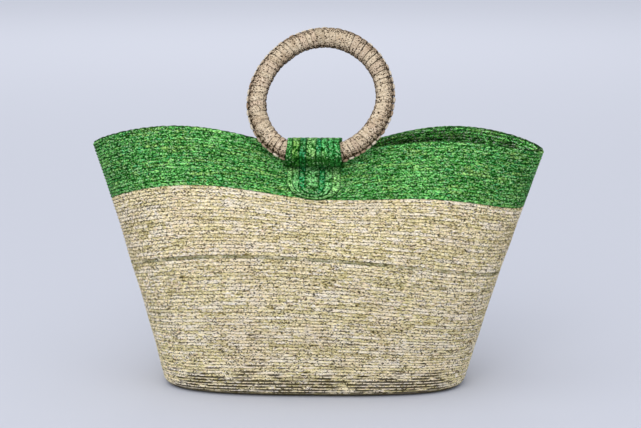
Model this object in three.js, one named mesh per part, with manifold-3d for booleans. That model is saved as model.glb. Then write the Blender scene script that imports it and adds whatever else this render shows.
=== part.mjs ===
// Palm leaf tote: a soft oval bag of spiral-sewn palm braid with two hoop handles.
// Millimetres, +Z up, +X along the long mouth, the front wall faces -Y.
// The origin is the centre of the flat underside.
import * as THREE from 'three';
import Module from 'manifold-3d';
import { mergeVertices } from 'three/addons/utils/BufferGeometryUtils.js';

const wasm = await Module();
wasm.setup();

const RAD = Math.PI / 180;

// ---- bag: sizes of the braided shell ----
const braid_thickness = 4.5;       // two lapped layers of plait, sewn together
const base_half_length = 153;      // where the end walls leave the bottom bend
const base_half_width = 68;        // where the long walls leave the bottom bend
const bottom_bend = 11;            // radius of the bend between floor and wall
const belly_half_width = 87;       // fullest place of the long walls
const belly_height = 150.5;
const lobe_height = 269.6;         // rim height before it sags between the lobes
const mouth_half_width = 29.4;
const mouth_half_length = 224;
const end_height = 238.8;          // rim height at the two pinched ends
const mouth_shift = 3.8;           // the whole mouth sits this far toward +X
const mouth_tilt = -2.7;           // the right end of the rim hangs lower
const rim_sag = 31;                // how far the rim dips in the middle
const rim_sag_spread = 103;        // half length of that dip
const rim_pinch = 0.26;            // the handles draw the two walls together
const back_sag_extra = 5;          // the dropped back handle pulls its rim down
const belly_twist = 3.6;           // lobes rise and fall diagonally
const rim_twist = 5.6;
const base_squareness = 2.85;      // superellipse exponents of the plan
const mouth_squareness = 1.97;
const end_thickening = 0.6;        // the folded ends of the mouth are thicker
const end_blend = 2.2;             // how late the wall heights turn into the end heights
const end_bow = 2.6;               // the straight ends curve in by this much half-way up

// ---- bag: how it is divided ----
const floor_ring = 14;             // flat margin of the floor that belongs to the wall
const green_slant = 65;            // depth of the dyed band, measured along the wall
const lap = 4;                     // neighbouring braids overlap by this much
const seat = 0.3;                  // air between pieces that touch

// ---- hoop handles ----
const hoop_radius = 60.7;          // to the middle of the tube
const hoop_skew = 0.034;           // bent by hand: longer from low left to high right
const hoop_flat = 0.015;           // and flatter where the tab holds it
const core_radius = 7.2;           // bent vine inside
const core_air = 0.45;             // the strip bridges the vine's small bends
const wrap_low = 8.55;             // palm strip where it dives under its neighbour
const wrap_high = 9.1;             // palm strip where it lies on top
const wrap_turns = 64;
const side_count = 10;
const seam_knot = 1.4;             // whip seam along the outside of the hoop
const seam_waist = 0.95;
const seam_pitch = 6.9;            // one knot for each turn of the strip
const hoop_lean = 22.5;            // the front hoop leans back over the mouth
const hoop_offset = 6.3;           // the hoop has slid sideways in its tab

// ---- tabs that hold the hoops ----
const tab_centre = 1.5;            // X of both tabs
const tab_half_width = 26;
const tab_thickness = 1.25;
const tab_play = 0.3;              // between hoop and tab, where the hoop turns
const tab_drop = 17;               // from the rim to the middle of the loop, along the wall
const back_tab_lower = 11;
const patch_thickness = 2.2;
const patch_length = 50;           // from the loop's middle to the round end
const patch_straight = 27;         // straight part of its sides

// ---- colours ----
const natural = new THREE.Color(0.64, 0.57, 0.43);
const green = new THREE.Color(0.13, 0.36, 0.12);
const green_tab = new THREE.Color(0.09, 0.31, 0.11);
const strip = new THREE.Color(0.6, 0.51, 0.39);
const cord = new THREE.Color(0.68, 0.62, 0.5);
const vine = new THREE.Color(0.42, 0.29, 0.17);

const model = new THREE.Group();
model.name = 'palm_leaf_tote';

function look(colour, roughness) {
  return new THREE.MeshStandardMaterial({ color: colour, roughness, metalness: 0 });
}

// Adds one closed body; the faces are turned so that the enclosed volume is positive.
function addBody(name, points, faces, material) {
  let volume = 0;
  for (const [a, b, c] of faces) {
    volume += points[a].dot(new THREE.Vector3().crossVectors(points[b], points[c]));
  }
  const index = volume > 0 ? faces.flat() : faces.map(([a, b, c]) => [a, c, b]).flat();
  const geometry = new THREE.BufferGeometry();
  const xyz = points.flatMap((p) => [p.x, p.y, p.z]);
  geometry.setAttribute('position', new THREE.Float32BufferAttribute(xyz, 3));
  geometry.setIndex(index);
  geometry.computeVertexNormals();
  const mesh = new THREE.Mesh(geometry, material);
  mesh.name = name;
  model.add(mesh);
  return mesh;
}

function quad(faces, a, b, c, d) {
  faces.push([a, b, c], [a, c, d]);
}

// ---- the shell of the bag ----

// Section across the middle of the bag: half width against height, floor to rim.
function sideSection() {
  const start = base_half_width - bottom_bend;
  const lean = 12 * RAD;
  const path = new THREE.Path();
  path.moveTo(start - floor_ring, 0);
  path.lineTo(start, 0);
  path.absarc(start, bottom_bend, bottom_bend, -90 * RAD, -lean, false);
  path.splineThru([
    new THREE.Vector2(THREE.MathUtils.lerp(base_half_width, belly_half_width, 0.76), belly_height * 0.6),
    new THREE.Vector2(belly_half_width, belly_height),
    new THREE.Vector2(
      THREE.MathUtils.lerp(mouth_half_width, belly_half_width, 0.62),
      THREE.MathUtils.lerp(belly_height, lobe_height, 0.59)),
    new THREE.Vector2(mouth_half_width, lobe_height),
  ]);
  return path;
}

// Section through the pinched ends: half length against height.
function endSection() {
  const start = base_half_length - bottom_bend;
  const lean = Math.atan2(mouth_half_length - base_half_length, end_height - bottom_bend);
  const path = new THREE.Path();
  path.moveTo(start - floor_ring, 0);
  path.lineTo(start, 0);
  path.absarc(start, bottom_bend, bottom_bend, -90 * RAD, -lean, false);
  path.lineTo(mouth_half_length, end_height);
  return path;
}

const side = sideSection();
const end = endSection();
const slant = side.getLength();

// A point of a section at fraction k of its length, moved inward by depth.
function level(path, k, depth) {
  const p = path.getPoint(k);
  const step = 1e-3;
  const a = path.getPoint(Math.max(0, k - step));
  const b = path.getPoint(Math.min(1, k + step));
  const t = b.sub(a).normalize();
  return new THREE.Vector2(p.x - t.y * depth, p.y + t.x * depth);
}

function ease(k, from) {
  const t = THREE.MathUtils.clamp((k - from) / (1 - from), 0, 1);
  return t * t * (3 - 2 * t);
}

function power(value, exponent) {
  return Math.sign(value) * Math.abs(value) ** exponent;
}

// The shell in the direction (c, s) of its plan, at level k, depth t of its thickness.
// Plan: superellipse. Height: the middle section turns into the end section along X.
function shellPoint(c, s, k, t) {
  const w = level(side, k, braid_thickness * t);
  const l = level(end, k, braid_thickness * (1 + end_thickening * k) * t);
  const x = (l.x - bowed(k)) * c;
  const along = Math.abs(c);
  const dip = Math.exp(-(((x - tab_centre) / rim_sag_spread) ** 2));
  const sag = rim_sag + (s > 0 ? back_sag_extra * s : 0);
  const pinch = mouth_half_width * rim_pinch * ease(k, 0.5) * dip;
  const turn = Math.atan2(s, c) * 2;
  const bow = Math.sin((Math.PI * k) / 1.1);
  const twist = belly_twist * bow + (rim_twist - belly_twist * Math.sin(Math.PI / 1.1)) * k * k;
  const z = THREE.MathUtils.lerp(w.y, l.y, along ** end_blend)
    - sag * ease(k, 0.45) * dip
    + Math.sin(turn) * twist * lift(k)
    + c * mouth_tilt * k * lift(k);
  const y = (w.x - pinch) * s;
  return new THREE.Vector3(x + mouth_shift * k, y, z);
}

// How far the ends have come in at level k.
function bowed(k) {
  return end_bow * Math.sin(Math.PI * k) * lift(k);
}

// Nothing twists or tilts on the flat floor.
function lift(k) {
  return ease(Math.min(1, k * 4), 0.35);
}

function plan(u, k) {
  const n = THREE.MathUtils.lerp(base_squareness, mouth_squareness, k);
  return [power(Math.cos(u), 2 / n), power(Math.sin(u), 2 / n)];
}

function shell(u, k, t) {
  const [c, s] = plan(u, k);
  return shellPoint(c, s, k, t);
}

// The outside of a long wall straight above a given X: side -1 is the front.
function wallAt(x, k, facing) {
  const n = THREE.MathUtils.lerp(base_squareness, mouth_squareness, k);
  const c = (x - mouth_shift * k) / (level(end, k, 0).x - bowed(k));
  const s = facing * (1 - Math.abs(c) ** n) ** (1 / n);
  return shellPoint(c, s, k, 0);
}

function wallNormal(x, k, facing) {
  const step = 0.01;
  const top = Math.min(1, k + step);
  const up = wallAt(x, top, facing).sub(wallAt(x, top - 2 * step, facing));
  const across = wallAt(x + 2, k, facing).sub(wallAt(x - 2, k, facing));
  return across.cross(up).multiplyScalar(-facing).normalize();
}

const column_count = 64;

// Sweeps a closed outline of [level, depth] corners round the bag.
function addBand(name, outline, material) {
  const points = [];
  const faces = [];
  const m = outline.length;
  for (let i = 0; i < column_count; i++) {
    const u = (2 * Math.PI * i) / column_count;
    for (const [k, t] of outline) points.push(shell(u, k, t));
  }
  for (let i = 0; i < column_count; i++) {
    const next = (i + 1) % column_count;
    for (let j = 0; j < m; j++) {
      const over = (j + 1) % m;
      quad(faces, i * m + j, next * m + j, next * m + over, i * m + over);
    }
  }
  addBody(name, points, faces, material);
}

// Levels between two heights, both included.
function levels(from, to, count, t) {
  const list = [];
  for (let i = 0; i <= count; i++) list.push([from + ((to - from) * i) / count, t]);
  return list;
}

const lap_k = lap / slant;
const gap_k = 0.35 / slant;
const half_gap = seat / 2 / braid_thickness;
const bend_end = (floor_ring + bottom_bend * 1.45) / slant;
const colour_line = 1 - green_slant / slant;
const rim_round = 1 / slant;

const natural_outline = [
  ...levels(0, bend_end, 4, 0),
  ...levels(bend_end + 0.06, colour_line, 8, 0),
  [colour_line, 0.5 + half_gap],
  [colour_line + lap_k, 0.5 + half_gap],
  ...levels(colour_line + lap_k, bend_end + 0.06, 8, 1),
  ...levels(bend_end, lap_k, 4, 1),
  [lap_k, 0.5 - half_gap],
  [0, 0.5 - half_gap],
];
addBand('natural_wall', natural_outline, look(natural, 0.9));

const green_outline = [
  ...levels(colour_line + gap_k, 1 - rim_round, 6, 0),
  [1, 0.25],
  [1, 0.75],
  ...levels(1 - rim_round, colour_line + lap_k + gap_k, 6, 1),
  [colour_line + lap_k + gap_k, 0.5 - half_gap],
  [colour_line + gap_k, 0.5 - half_gap],
];
addBand('green_band', green_outline, look(green, 0.88));

// The floor: an oval plate whose upper layer laps over the first braid of the wall.
function addFloor() {
  const points = [];
  const faces = [];
  const rings = [
    [-gap_k, 0],
    [-gap_k, 0.5 + half_gap],
    [lap_k - gap_k, 0.5 + half_gap],
    [lap_k - gap_k, 1],
  ];
  for (let i = 0; i < column_count; i++) {
    const [c, s] = plan((2 * Math.PI * i) / column_count, 0);
    for (const [k, t] of rings) {
      const inner = Math.min(0, k) * slant;
      const a = level(end, Math.max(0, k), 0).x + inner;
      const b = level(side, Math.max(0, k), 0).x + inner;
      points.push(new THREE.Vector3(a * c + mouth_shift * k, b * s, braid_thickness * t));
    }
  }
  const under = points.push(new THREE.Vector3(0, 0, 0)) - 1;
  const upper = points.push(new THREE.Vector3(0, 0, braid_thickness)) - 1;
  const m = rings.length;
  for (let i = 0; i < column_count; i++) {
    const next = (i + 1) % column_count;
    for (let j = 0; j < m - 1; j++) {
      quad(faces, i * m + j, next * m + j, next * m + j + 1, i * m + j + 1);
    }
    faces.push([under, next * m, i * m]);
    faces.push([upper, i * m + m - 1, next * m + m - 1]);
  }
  addBody('base_oval', points, faces, look(natural, 0.92));
}
addFloor();

// ---- where the hoops turn ----

// A point beside the hoop's middle line, in the hoop's own plane: f goes round from
// straight down, out is the distance outward from the line. The hoop's middle is (0, 0).
function hoopLine(f, out) {
  const r = hoop_radius * (1 - hoop_skew * Math.sin(2 * f)
    - hoop_flat * (Math.cos(2 * f) + Math.cos(3 * f)));
  const slope = hoop_radius * (-2 * hoop_skew * Math.cos(2 * f)
    + hoop_flat * (2 * Math.sin(2 * f) + 3 * Math.sin(3 * f)));
  const along = new THREE.Vector2(
    slope * Math.sin(f) + r * Math.cos(f),
    -slope * Math.cos(f) + r * Math.sin(f)).normalize();
  return new THREE.Vector2(r * Math.sin(f) + out * along.y, -r * Math.cos(f) - out * along.x);
}

// The highest and the lowest place of the tube inside the tab. The hinge lies half-way
// between them, and the tab closes round the height that the curved tube covers.
function tubeInTab() {
  let top = -Infinity;
  let bottom = Infinity;
  for (let f = -60; f <= 60; f += 0.1) {
    for (const out of [-wrap_high, wrap_high]) {
      const p = hoopLine(f * RAD, out);
      if (Math.abs(p.x + hoop_offset) > tab_half_width) continue;
      if (out < 0) top = Math.max(top, p.y);
      else bottom = Math.min(bottom, p.y);
    }
  }
  return [top, bottom];
}

const [tube_top, tube_bottom] = tubeInTab();
const hoop_rise = -(tube_top + tube_bottom) / 2;     // from the hinge to the hoop's middle
const loop_bore = (tube_top - tube_bottom) / 2 + tab_play;
const loop_radius = loop_bore + tab_thickness;

// The axis of a tab, as (Y, Z): the loop just rests on the wall it is sewn to.
function tabAxis(facing) {
  const k = 1 - (tab_drop + (facing > 0 ? back_tab_lower : 0)) / slant;
  const foot = wallAt(tab_centre, k, facing);
  const out = wallNormal(tab_centre, k, facing);
  const y = foot.y;
  const z = foot.z;
  let away = loop_radius;
  for (let round = 0; round < 6; round++) {
    let nearest = Infinity;
    for (let i = -4; i <= 4; i++) {
      for (let j = -8; j <= 8; j++) {
        const p = wallAt(tab_centre + (tab_half_width * i) / 4, Math.min(1, k + j * 0.01), facing);
        nearest = Math.min(nearest, Math.hypot(p.y - y - out.y * away, p.z - z - out.z * away));
      }
    }
    away += loop_radius + seat - nearest;
  }
  return { k, y: y + out.y * away, z: z + out.z * away };
}

const front_axis = tabAxis(-1);
const back_axis = tabAxis(1);

// ---- tabs ----

function toManifold(points, faces) {
  let geometry = new THREE.BufferGeometry();
  const xyz = points.flatMap((p) => [p.x, p.y, p.z]);
  geometry.setAttribute('position', new THREE.Float32BufferAttribute(xyz, 3));
  let volume = 0;
  for (const [a, b, c] of faces) {
    volume += points[a].dot(new THREE.Vector3().crossVectors(points[b], points[c]));
  }
  geometry.setIndex(volume > 0 ? faces.flat() : faces.map(([a, b, c]) => [a, c, b]).flat());
  geometry = mergeVertices(geometry, 1e-5);
  return new wasm.Manifold(new wasm.Mesh({
    numProp: 3,
    vertProperties: Float32Array.from(geometry.attributes.position.array),
    triVerts: Uint32Array.from(geometry.index.array),
  }));
}

// A solid rod along X through the axis of a tab.
function rod(axis, radius, halfLength) {
  const around = 36;
  const points = [];
  const faces = [];
  for (const x of [tab_centre - halfLength, tab_centre + halfLength]) {
    for (let j = 0; j < around; j++) {
      const a = (2 * Math.PI * j) / around;
      points.push(new THREE.Vector3(x, axis.y + radius * Math.cos(a), axis.z + radius * Math.sin(a)));
    }
  }
  for (let j = 0; j < around; j++) {
    quad(faces, j, (j + 1) % around, around + ((j + 1) % around), around + j);
    if (j > 0 && j < around - 1) {
      faces.push([0, j + 1, j], [around, around + j, around + j + 1]);
    }
  }
  return toManifold(points, faces);
}

// The half-round patch: a sheet that lies on the wall below the loop.
function patch(axis, facing) {
  const wide = 14;
  const long = 7;
  const points = [];
  const faces = [];
  const half = tab_half_width;
  for (let layer = 0; layer < 2; layer++) {
    const lifted = layer === 0 ? seat : seat + patch_thickness;
    for (let i = 0; i <= wide; i++) {
      const q = Math.sin((Math.PI / 2) * ((2 * i) / wide - 1));
      const x = tab_centre + half * q;
      const round = (1 - Math.abs(q) ** 2.3) ** (1 / 2.3);
      const length = patch_straight + (patch_length - patch_straight) * round;
      for (let j = 0; j <= long; j++) {
        const k = axis.k - (length * j) / long / slant;
        points.push(wallAt(x, k, facing).addScaledVector(wallNormal(x, k, facing), lifted));
      }
    }
  }
  const row = long + 1;
  const sheet = (wide + 1) * row;
  for (let i = 0; i < wide; i++) {
    for (let j = 0; j < long; j++) {
      const a = i * row + j;
      quad(faces, a, a + 1, a + row + 1, a + row);
      quad(faces, sheet + a, sheet + a + row, sheet + a + row + 1, sheet + a + 1);
    }
  }
  for (let i = 0; i < wide; i++) {
    const a = i * row;
    quad(faces, a, a + row, sheet + a + row, sheet + a);
    const b = a + long;
    quad(faces, b, sheet + b, sheet + b + row, b + row);
  }
  for (let j = 0; j < long; j++) {
    quad(faces, j, sheet + j, sheet + j + 1, j + 1);
    const b = wide * row + j;
    quad(faces, b, b + 1, sheet + b + 1, sheet + b);
  }
  return toManifold(points, faces);
}

function addTab(name, axis, facing) {
  const loop = rod(axis, loop_radius, tab_half_width);
  const bore = rod(axis, loop_bore, tab_half_width + 5);
  const result = loop.add(patch(axis, facing)).subtract(bore).getMesh();
  const geometry = new THREE.BufferGeometry();
  geometry.setAttribute('position', new THREE.BufferAttribute(result.vertProperties, 3));
  geometry.setIndex(new THREE.BufferAttribute(result.triVerts, 1));
  geometry.computeVertexNormals();
  const mesh = new THREE.Mesh(geometry, look(green_tab, 0.85));
  mesh.name = name;
  model.add(mesh);
}
addTab('front_tab', front_axis, -1);
addTab('back_tab', back_axis, 1);

// ---- hoops ----

// A point outward from the hoop's middle line and to one side of its plane; the hinge is
// the origin and the hoop stands up.
function hoopSpot(f, out, aside) {
  const p = hoopLine(f, out);
  return new THREE.Vector3(tab_centre + hoop_offset + p.x, aside, hoop_rise + p.y);
}

// The same by the angle g round the tube, from outside, and the distance r from its middle.
function hoopPoint(f, g, r) {
  return hoopSpot(f, r * Math.cos(g), r * Math.sin(g));
}

// Turns a standing hoop back over the mouth by an angle and puts it on its axis.
function place(points, axis, angle) {
  const turn = new THREE.Matrix4().makeRotationX(-angle);
  for (const p of points) {
    p.applyMatrix4(turn);
    p.y += axis.y;
    p.z += axis.z;
  }
  return points;
}

function addCore(name, axis, angle) {
  const steps = 52;
  const around = side_count;
  const points = [];
  const faces = [];
  for (let i = 0; i < steps; i++) {
    for (let j = 0; j < around; j++) {
      points.push(hoopPoint((2 * Math.PI * i) / steps, (2 * Math.PI * j) / around, core_radius));
    }
  }
  for (let i = 0; i < steps; i++) {
    const next = ((i + 1) % steps) * around;
    for (let j = 0; j < around; j++) {
      const over = (j + 1) % around;
      quad(faces, i * around + j, next + j, next + over, i * around + over);
    }
  }
  addBody(name, place(points, axis, angle), faces, look(vine, 0.8));
}

// The palm strip wound round the core. Each turn starts low, climbs, and ends on top of
// the next one, so the tube carries a helical step. Both ends of the strip meet under the tab.
function addWrap(name, axis, angle) {
  const around = side_count;
  const pitch = (2 * Math.PI) / (wrap_turns + 1.6);
  const first = pitch * 0.3;
  const phases = [0.05, 0.95];
  const m = phases.length * wrap_turns + 1;
  const points = [];
  const faces = [];
  for (let i = 0; i < m; i++) {
    const phase = Math.floor(i / 2) + phases[i % 2];
    const r = i % 2 === 0 ? wrap_low : wrap_high;
    for (let j = 0; j < around; j++) {
      const g = (2 * Math.PI * j) / around;
      points.push(hoopPoint(first + pitch * (phase + j / around), g, r));
    }
  }
  // The last side of a turn joins the first side of the following turn.
  const at = (i, j) => (j < around ? i * around + j : (i + 2) * around);
  for (let i = 0; i < m - 1; i++) {
    for (let j = 0; j < around; j++) {
      if (j === around - 1 && i + 3 > m - 1) continue;
      quad(faces, at(i, j), at(i + 1, j), at(i + 1, j + 1), at(i, j + 1));
    }
  }
  const rings = 40;
  const bore = points.length;
  const last = first + pitch * (wrap_turns + 1);
  for (let i = 0; i <= rings; i++) {
    for (let j = 0; j < around; j++) {
      const f = first + ((last - first) * i) / rings;
      points.push(hoopPoint(f, (2 * Math.PI * j) / around, core_radius + core_air));
    }
  }
  for (let i = 0; i < rings; i++) {
    for (let j = 0; j < around; j++) {
      const a = bore + i * around;
      const over = (j + 1) % around;
      quad(faces, a + j, a + over, a + around + over, a + around + j);
    }
  }
  // Slanting ends: the outer rim climbs by one pitch while the bore ends square.
  for (let j = 0; j < around; j++) {
    const over = (j + 1) % around;
    faces.push([at(0, j), at(0, j + 1), bore + j]);
    faces.push([at(0, j + 1), bore + over, bore + j]);
  }
  faces.push([at(2, 0), at(1, 0), bore], [at(1, 0), at(0, 0), bore]);
  const tail = bore + rings * around;
  const e = m - 1;
  for (let j = 0; j < around - 1; j++) {
    faces.push([at(e, j + 1), at(e, j), tail + j]);
    faces.push([at(e, j + 1), tail + j, tail + j + 1]);
  }
  const corner = at(e, around - 1);
  faces.push([at(e, 0), corner, tail + around - 1]);
  faces.push([at(e, 0), tail + around - 1, tail]);
  faces.push([at(e, 0), at(e - 1, around - 1), corner]);
  faces.push([at(e, 0), at(e - 2, around - 1), at(e - 1, around - 1)]);
  addBody(name, place(points, axis, angle), faces, look(strip, 0.8));
}

// The whip seam: a row of knots along the outside of the hoop, from tab edge to tab edge.
function addSeam(name, axis, angle) {
  const around = 6;
  const off = wrap_high + seat + seam_knot;
  const edge = tab_half_width + 2.5;
  let from = 0;
  let to = 2 * Math.PI;
  while (hoopSpot(from, off, 0).x < tab_centre + edge) from += 0.001;
  while (hoopSpot(to, off, 0).x > tab_centre - edge) to -= 0.001;
  const knots = Math.round(((hoop_radius + off) * (to - from)) / seam_pitch);
  const count = 2 * knots;
  const points = [];
  const faces = [];
  for (let i = 0; i <= count; i++) {
    const f = from + ((to - from) * i) / count;
    const r = i % 2 === 0 ? seam_waist : seam_knot;
    for (let j = 0; j < around; j++) {
      const g = (2 * Math.PI * j) / around;
      points.push(hoopSpot(f, off + r * Math.cos(g), r * Math.sin(g)));
    }
  }
  for (let i = 0; i < count; i++) {
    const a = i * around;
    for (let j = 0; j < around; j++) {
      const over = (j + 1) % around;
      quad(faces, a + j, a + around + j, a + around + over, a + over);
    }
  }
  for (let j = 1; j < around - 1; j++) {
    const z = count * around;
    faces.push([0, j, j + 1], [z, z + j + 1, z + j]);
  }
  addBody(name, place(points, axis, angle), faces, look(cord, 0.85));
}

// The back hoop has dropped: it hangs outside the back wall and rests on the belly.
// Found by lowering it until the tube comes within the seat of the wall.
function hangAngle(axis) {
  const wall = [];
  for (let i = -12; i <= 12; i++) {
    for (let k = 0.3; k < 0.95; k += 0.01) {
      const x = tab_centre + i * 7;
      wall.push([wallAt(x, k, 1), wallNormal(x, k, 1)]);
    }
  }
  const clear = (angle) => {
    let nearest = Infinity;
    for (let f = 60; f <= 300; f += 10) {
      const [p] = place([hoopPoint(f * RAD, 0, 0)], axis, angle);
      let best = Infinity;
      let gap = 0;
      for (const [q, n] of wall) {
        const d = q.distanceToSquared(p);
        if (d < best) {
          best = d;
          gap = n.dot(new THREE.Vector3().subVectors(p, q));
        }
      }
      nearest = Math.min(nearest, gap);
    }
    return nearest - wrap_high;
  };
  let low = 90 * RAD;
  let high = 180 * RAD;
  for (let round = 0; round < 24; round++) {
    const mid = (low + high) / 2;
    if (clear(mid) > seat) low = mid;
    else high = mid;
  }
  return low;
}

const front_angle = hoop_lean * RAD;
const back_angle = hangAngle(back_axis);

addCore('front_hoop_core', front_axis, front_angle);
addWrap('front_hoop_wrap', front_axis, front_angle);
addSeam('front_hoop_seam', front_axis, front_angle);
addCore('back_hoop_core', back_axis, back_angle);
addWrap('back_hoop_wrap', back_axis, back_angle);
addSeam('back_hoop_seam', back_axis, back_angle);

export default model;
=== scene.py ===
# %% [markdown]
# A palm leaf tote, made for a render. The real bag is one long plait of split palm
# leaf, wound round and round in a spiral and sewn edge over edge, first for the oval
# floor and then up the walls. The top rows are plaited from leaf dyed green. Two hoops
# of bent vine, wound with undyed palm strip, turn in short loops sewn to the rim.
# The frame holds the plain solids and the bodies that move. Pictures of plait could be
# wrapped round those solids; here each row and strand is worked out by a rule instead,
# so that it stays sharp and raised from every side. All lengths are in millimetres until
# a mesh is written, because that is how a basket maker measures.

# %% Load the frame
import bpy
import numpy as np
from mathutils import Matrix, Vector


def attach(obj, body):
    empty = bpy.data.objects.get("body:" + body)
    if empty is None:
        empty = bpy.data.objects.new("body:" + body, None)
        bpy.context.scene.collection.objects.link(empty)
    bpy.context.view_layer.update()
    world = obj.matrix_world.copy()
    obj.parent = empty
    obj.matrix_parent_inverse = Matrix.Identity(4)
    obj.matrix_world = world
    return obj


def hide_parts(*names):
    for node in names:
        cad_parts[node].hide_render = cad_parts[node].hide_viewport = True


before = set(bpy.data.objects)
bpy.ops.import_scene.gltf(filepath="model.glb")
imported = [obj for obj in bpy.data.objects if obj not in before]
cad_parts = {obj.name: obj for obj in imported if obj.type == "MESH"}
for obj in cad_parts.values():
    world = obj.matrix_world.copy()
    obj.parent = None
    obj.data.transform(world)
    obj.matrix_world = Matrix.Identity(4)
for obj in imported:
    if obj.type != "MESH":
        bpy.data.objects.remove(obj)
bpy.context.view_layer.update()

# %% [markdown]
# The camera stands one and a half metres in front of the bag, five centimetres to the
# right, and looks down by ten degrees, so that the rim shows as a thin line and the
# back wall only peeps over it on the right. It could be placed by eye in
# the viewport. Its place and lens are typed in here, so every run has the same view.

# %% Camera
sensor_width, focal_length = 36.0, 91.29      # mm
stand, aim = Vector((0.054, -1.5992, 0.456)), Vector((0.0066, 0.0, 0.1705))      # m
camera_data = bpy.data.cameras.new("camera")
camera_data.sensor_width, camera_data.lens = sensor_width, focal_length
camera = bpy.data.objects.new("camera", camera_data)
camera.location = stand
camera.rotation_euler = (aim - stand).to_track_quat("-Z", "Y").to_euler()
bpy.context.scene.collection.objects.link(camera)
bpy.context.scene.camera = camera
bpy.context.scene.view_settings.view_transform = "Standard"
print("camera is", round((aim - stand).length, 3), "m from its aim")

# %% [markdown]
# Every piece is a grid of points worked out with numpy. One helper writes such a grid
# as a mesh: it joins points that fall on each other, so that seams and poles close,
# drops faces that shrink to nothing there, and turns all faces outward by the sign of
# the volume that they enclose. Blender's from_pydata takes faces as Python lists, which
# is slow for a hundred thousand of them; foreach_set takes a whole array at once.

# %% Writing a mesh
joins_per_mm = 1e4      # points nearer than a ten-thousandth of a millimetre become one
metres_per_mm = 0.001


def add_piece(name, points, quads, corner_uv, material, body, stands_for):
    """points (N, 3) in mm, quads (M, 4) of point numbers, corner_uv (M, 4, 2).
    The volume is the sum of p0 . (p1 x p2) over the triangles of all quads."""
    key = np.round(points * joins_per_mm).astype(np.int64)
    kept, back = np.unique(key, axis=0, return_index=True, return_inverse=True)[1:]
    points = points[kept] * metres_per_mm
    quads = back.reshape(-1)[quads]
    p = points[quads]
    cross = np.cross(p[:, 1] - p[:, 0], p[:, 2] - p[:, 0])
    other = np.cross(p[:, 2] - p[:, 0], p[:, 3] - p[:, 0])
    if np.sum(p[:, 0] * (cross + other)) < 0:
        quads, corner_uv = quads[:, ::-1], corner_uv[:, ::-1]
    same = quads == np.roll(quads, -1, axis=1)
    alive = ~same & ((same.sum(1) < 2)[:, None])
    loops = quads[alive]
    total = alive.sum(1)
    total = total[total > 0]
    mesh = bpy.data.meshes.new(name)
    mesh.vertices.add(len(points))
    mesh.vertices.foreach_set("co", points.astype(np.float32).ravel())
    mesh.loops.add(len(loops))
    mesh.loops.foreach_set("vertex_index", loops.astype(np.int32))
    mesh.polygons.add(len(total))
    start = np.concatenate([[0], np.cumsum(total)[:-1]])
    mesh.polygons.foreach_set("loop_start", start.astype(np.int32))
    mesh.polygons.foreach_set("use_smooth", np.ones(len(total), bool))
    layer = mesh.uv_layers.new(name="plait")
    layer.data.foreach_set("uv", corner_uv[alive].astype(np.float32).ravel())
    mesh.update(calc_edges=True)
    mesh.validate()
    mesh.materials.append(material)
    piece = bpy.data.objects.new(name, mesh)
    bpy.context.scene.collection.objects.link(piece)
    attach(piece, body)
    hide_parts(*stands_for)
    triangles = int((total - 2).sum())
    print(f"{name}: {len(points)} points, {triangles} triangles")


print("points are told apart down to", 1 / joins_per_mm, "mm")

# %% [markdown]
# The faces of a grid, and its plait coordinates. Each face knows its four corners by
# number, and each corner of a face gets its own pair of coordinates. One pair for each
# point would be less to store, but colours would smear wherever one row ends and the
# next begins.

# %% Grids


def grid_quads(rows, columns, wrap_rows, wrap_columns):
    """Faces of a grid of points numbered row by row; a wrapped side joins the last
    line of points to the first. Shape (face rows, face columns, 4)."""
    r = np.arange(rows if wrap_rows else rows - 1)[:, None]
    c = np.arange(columns if wrap_columns else columns - 1)[None, :]
    r1, c1 = (r + 1) % rows, (c + 1) % columns
    corners = (r * columns + c, r * columns + c1, r1 * columns + c1, r1 * columns + c)
    return np.stack(corners, -1)


def face_uv(turns, low, high, columns):
    """Corner coordinates of a grid whose columns run once round a row of the plait.
    Along the row: the row's number of strands times the share of the way round.
    Across: from low to high, one pair for each face row."""
    i = np.arange(columns)
    left = turns[:, None] * i / columns
    right = turns[:, None] * (i + 1) / columns
    low = np.broadcast_to(low[:, None], left.shape)
    high = np.broadcast_to(high[:, None], left.shape)
    u = np.stack([left, right, right, left], -1)
    return np.stack([u, np.stack([low, low, high, high], -1)], -1)


def within(v, gap):
    """Places across a row from gap to 1 - gap, so that rounding never moves a corner to
    the next row: gap plus v times (1 - 2 gap)."""
    return gap + (1 - 2 * gap) * v


print("a ring of 3 by 4 points has", grid_quads(3, 4, True, True).size // 4, "faces")

# %% [markdown]
# The plait itself. Each visible row is about three and a half millimetres of a wider
# plait, because the next row laps over the rest. The split leaf crosses it as short flat
# strands that slant from the middle line to both edges, like the bones of a fish, and
# two fine strands lie side by side in each crossing. The strands could each be a mesh of
# their own, but there are tens of thousands. A height rule over the wall is lighter, and
# the material uses the same rule to colour each strand, so the dark creases, which are
# painted shade, fall into real ones. A slow warp keeps the strands from being all alike.

# %% The strand rule
strand_length = 6.2      # of a pair of strands, along the row
strand_shift = 0.42      # pairs crossed on the way from the middle line to an edge
slow_waves = ((0.22, 1.9, 2.4), (0.15, 0.83, 5.1))      # pairs, turns along, turns a row
band_swell, band_dive, strand_swell = 0.34, 0.5, 0.2      # mm


def strand_phase(u, v, row):
    """How many pairs have gone by at u along and v across row: u, plus two slow sine
    waves that differ from row to row, plus the shift times the distance from the
    middle line, and half a pair more above that line."""
    warp = sum(size * np.sin(along * u + step * row) for size, along, step in slow_waves)
    return u + warp + strand_shift * np.abs(2 * v - 1) + 0.5 * (v > 0.5)


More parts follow.
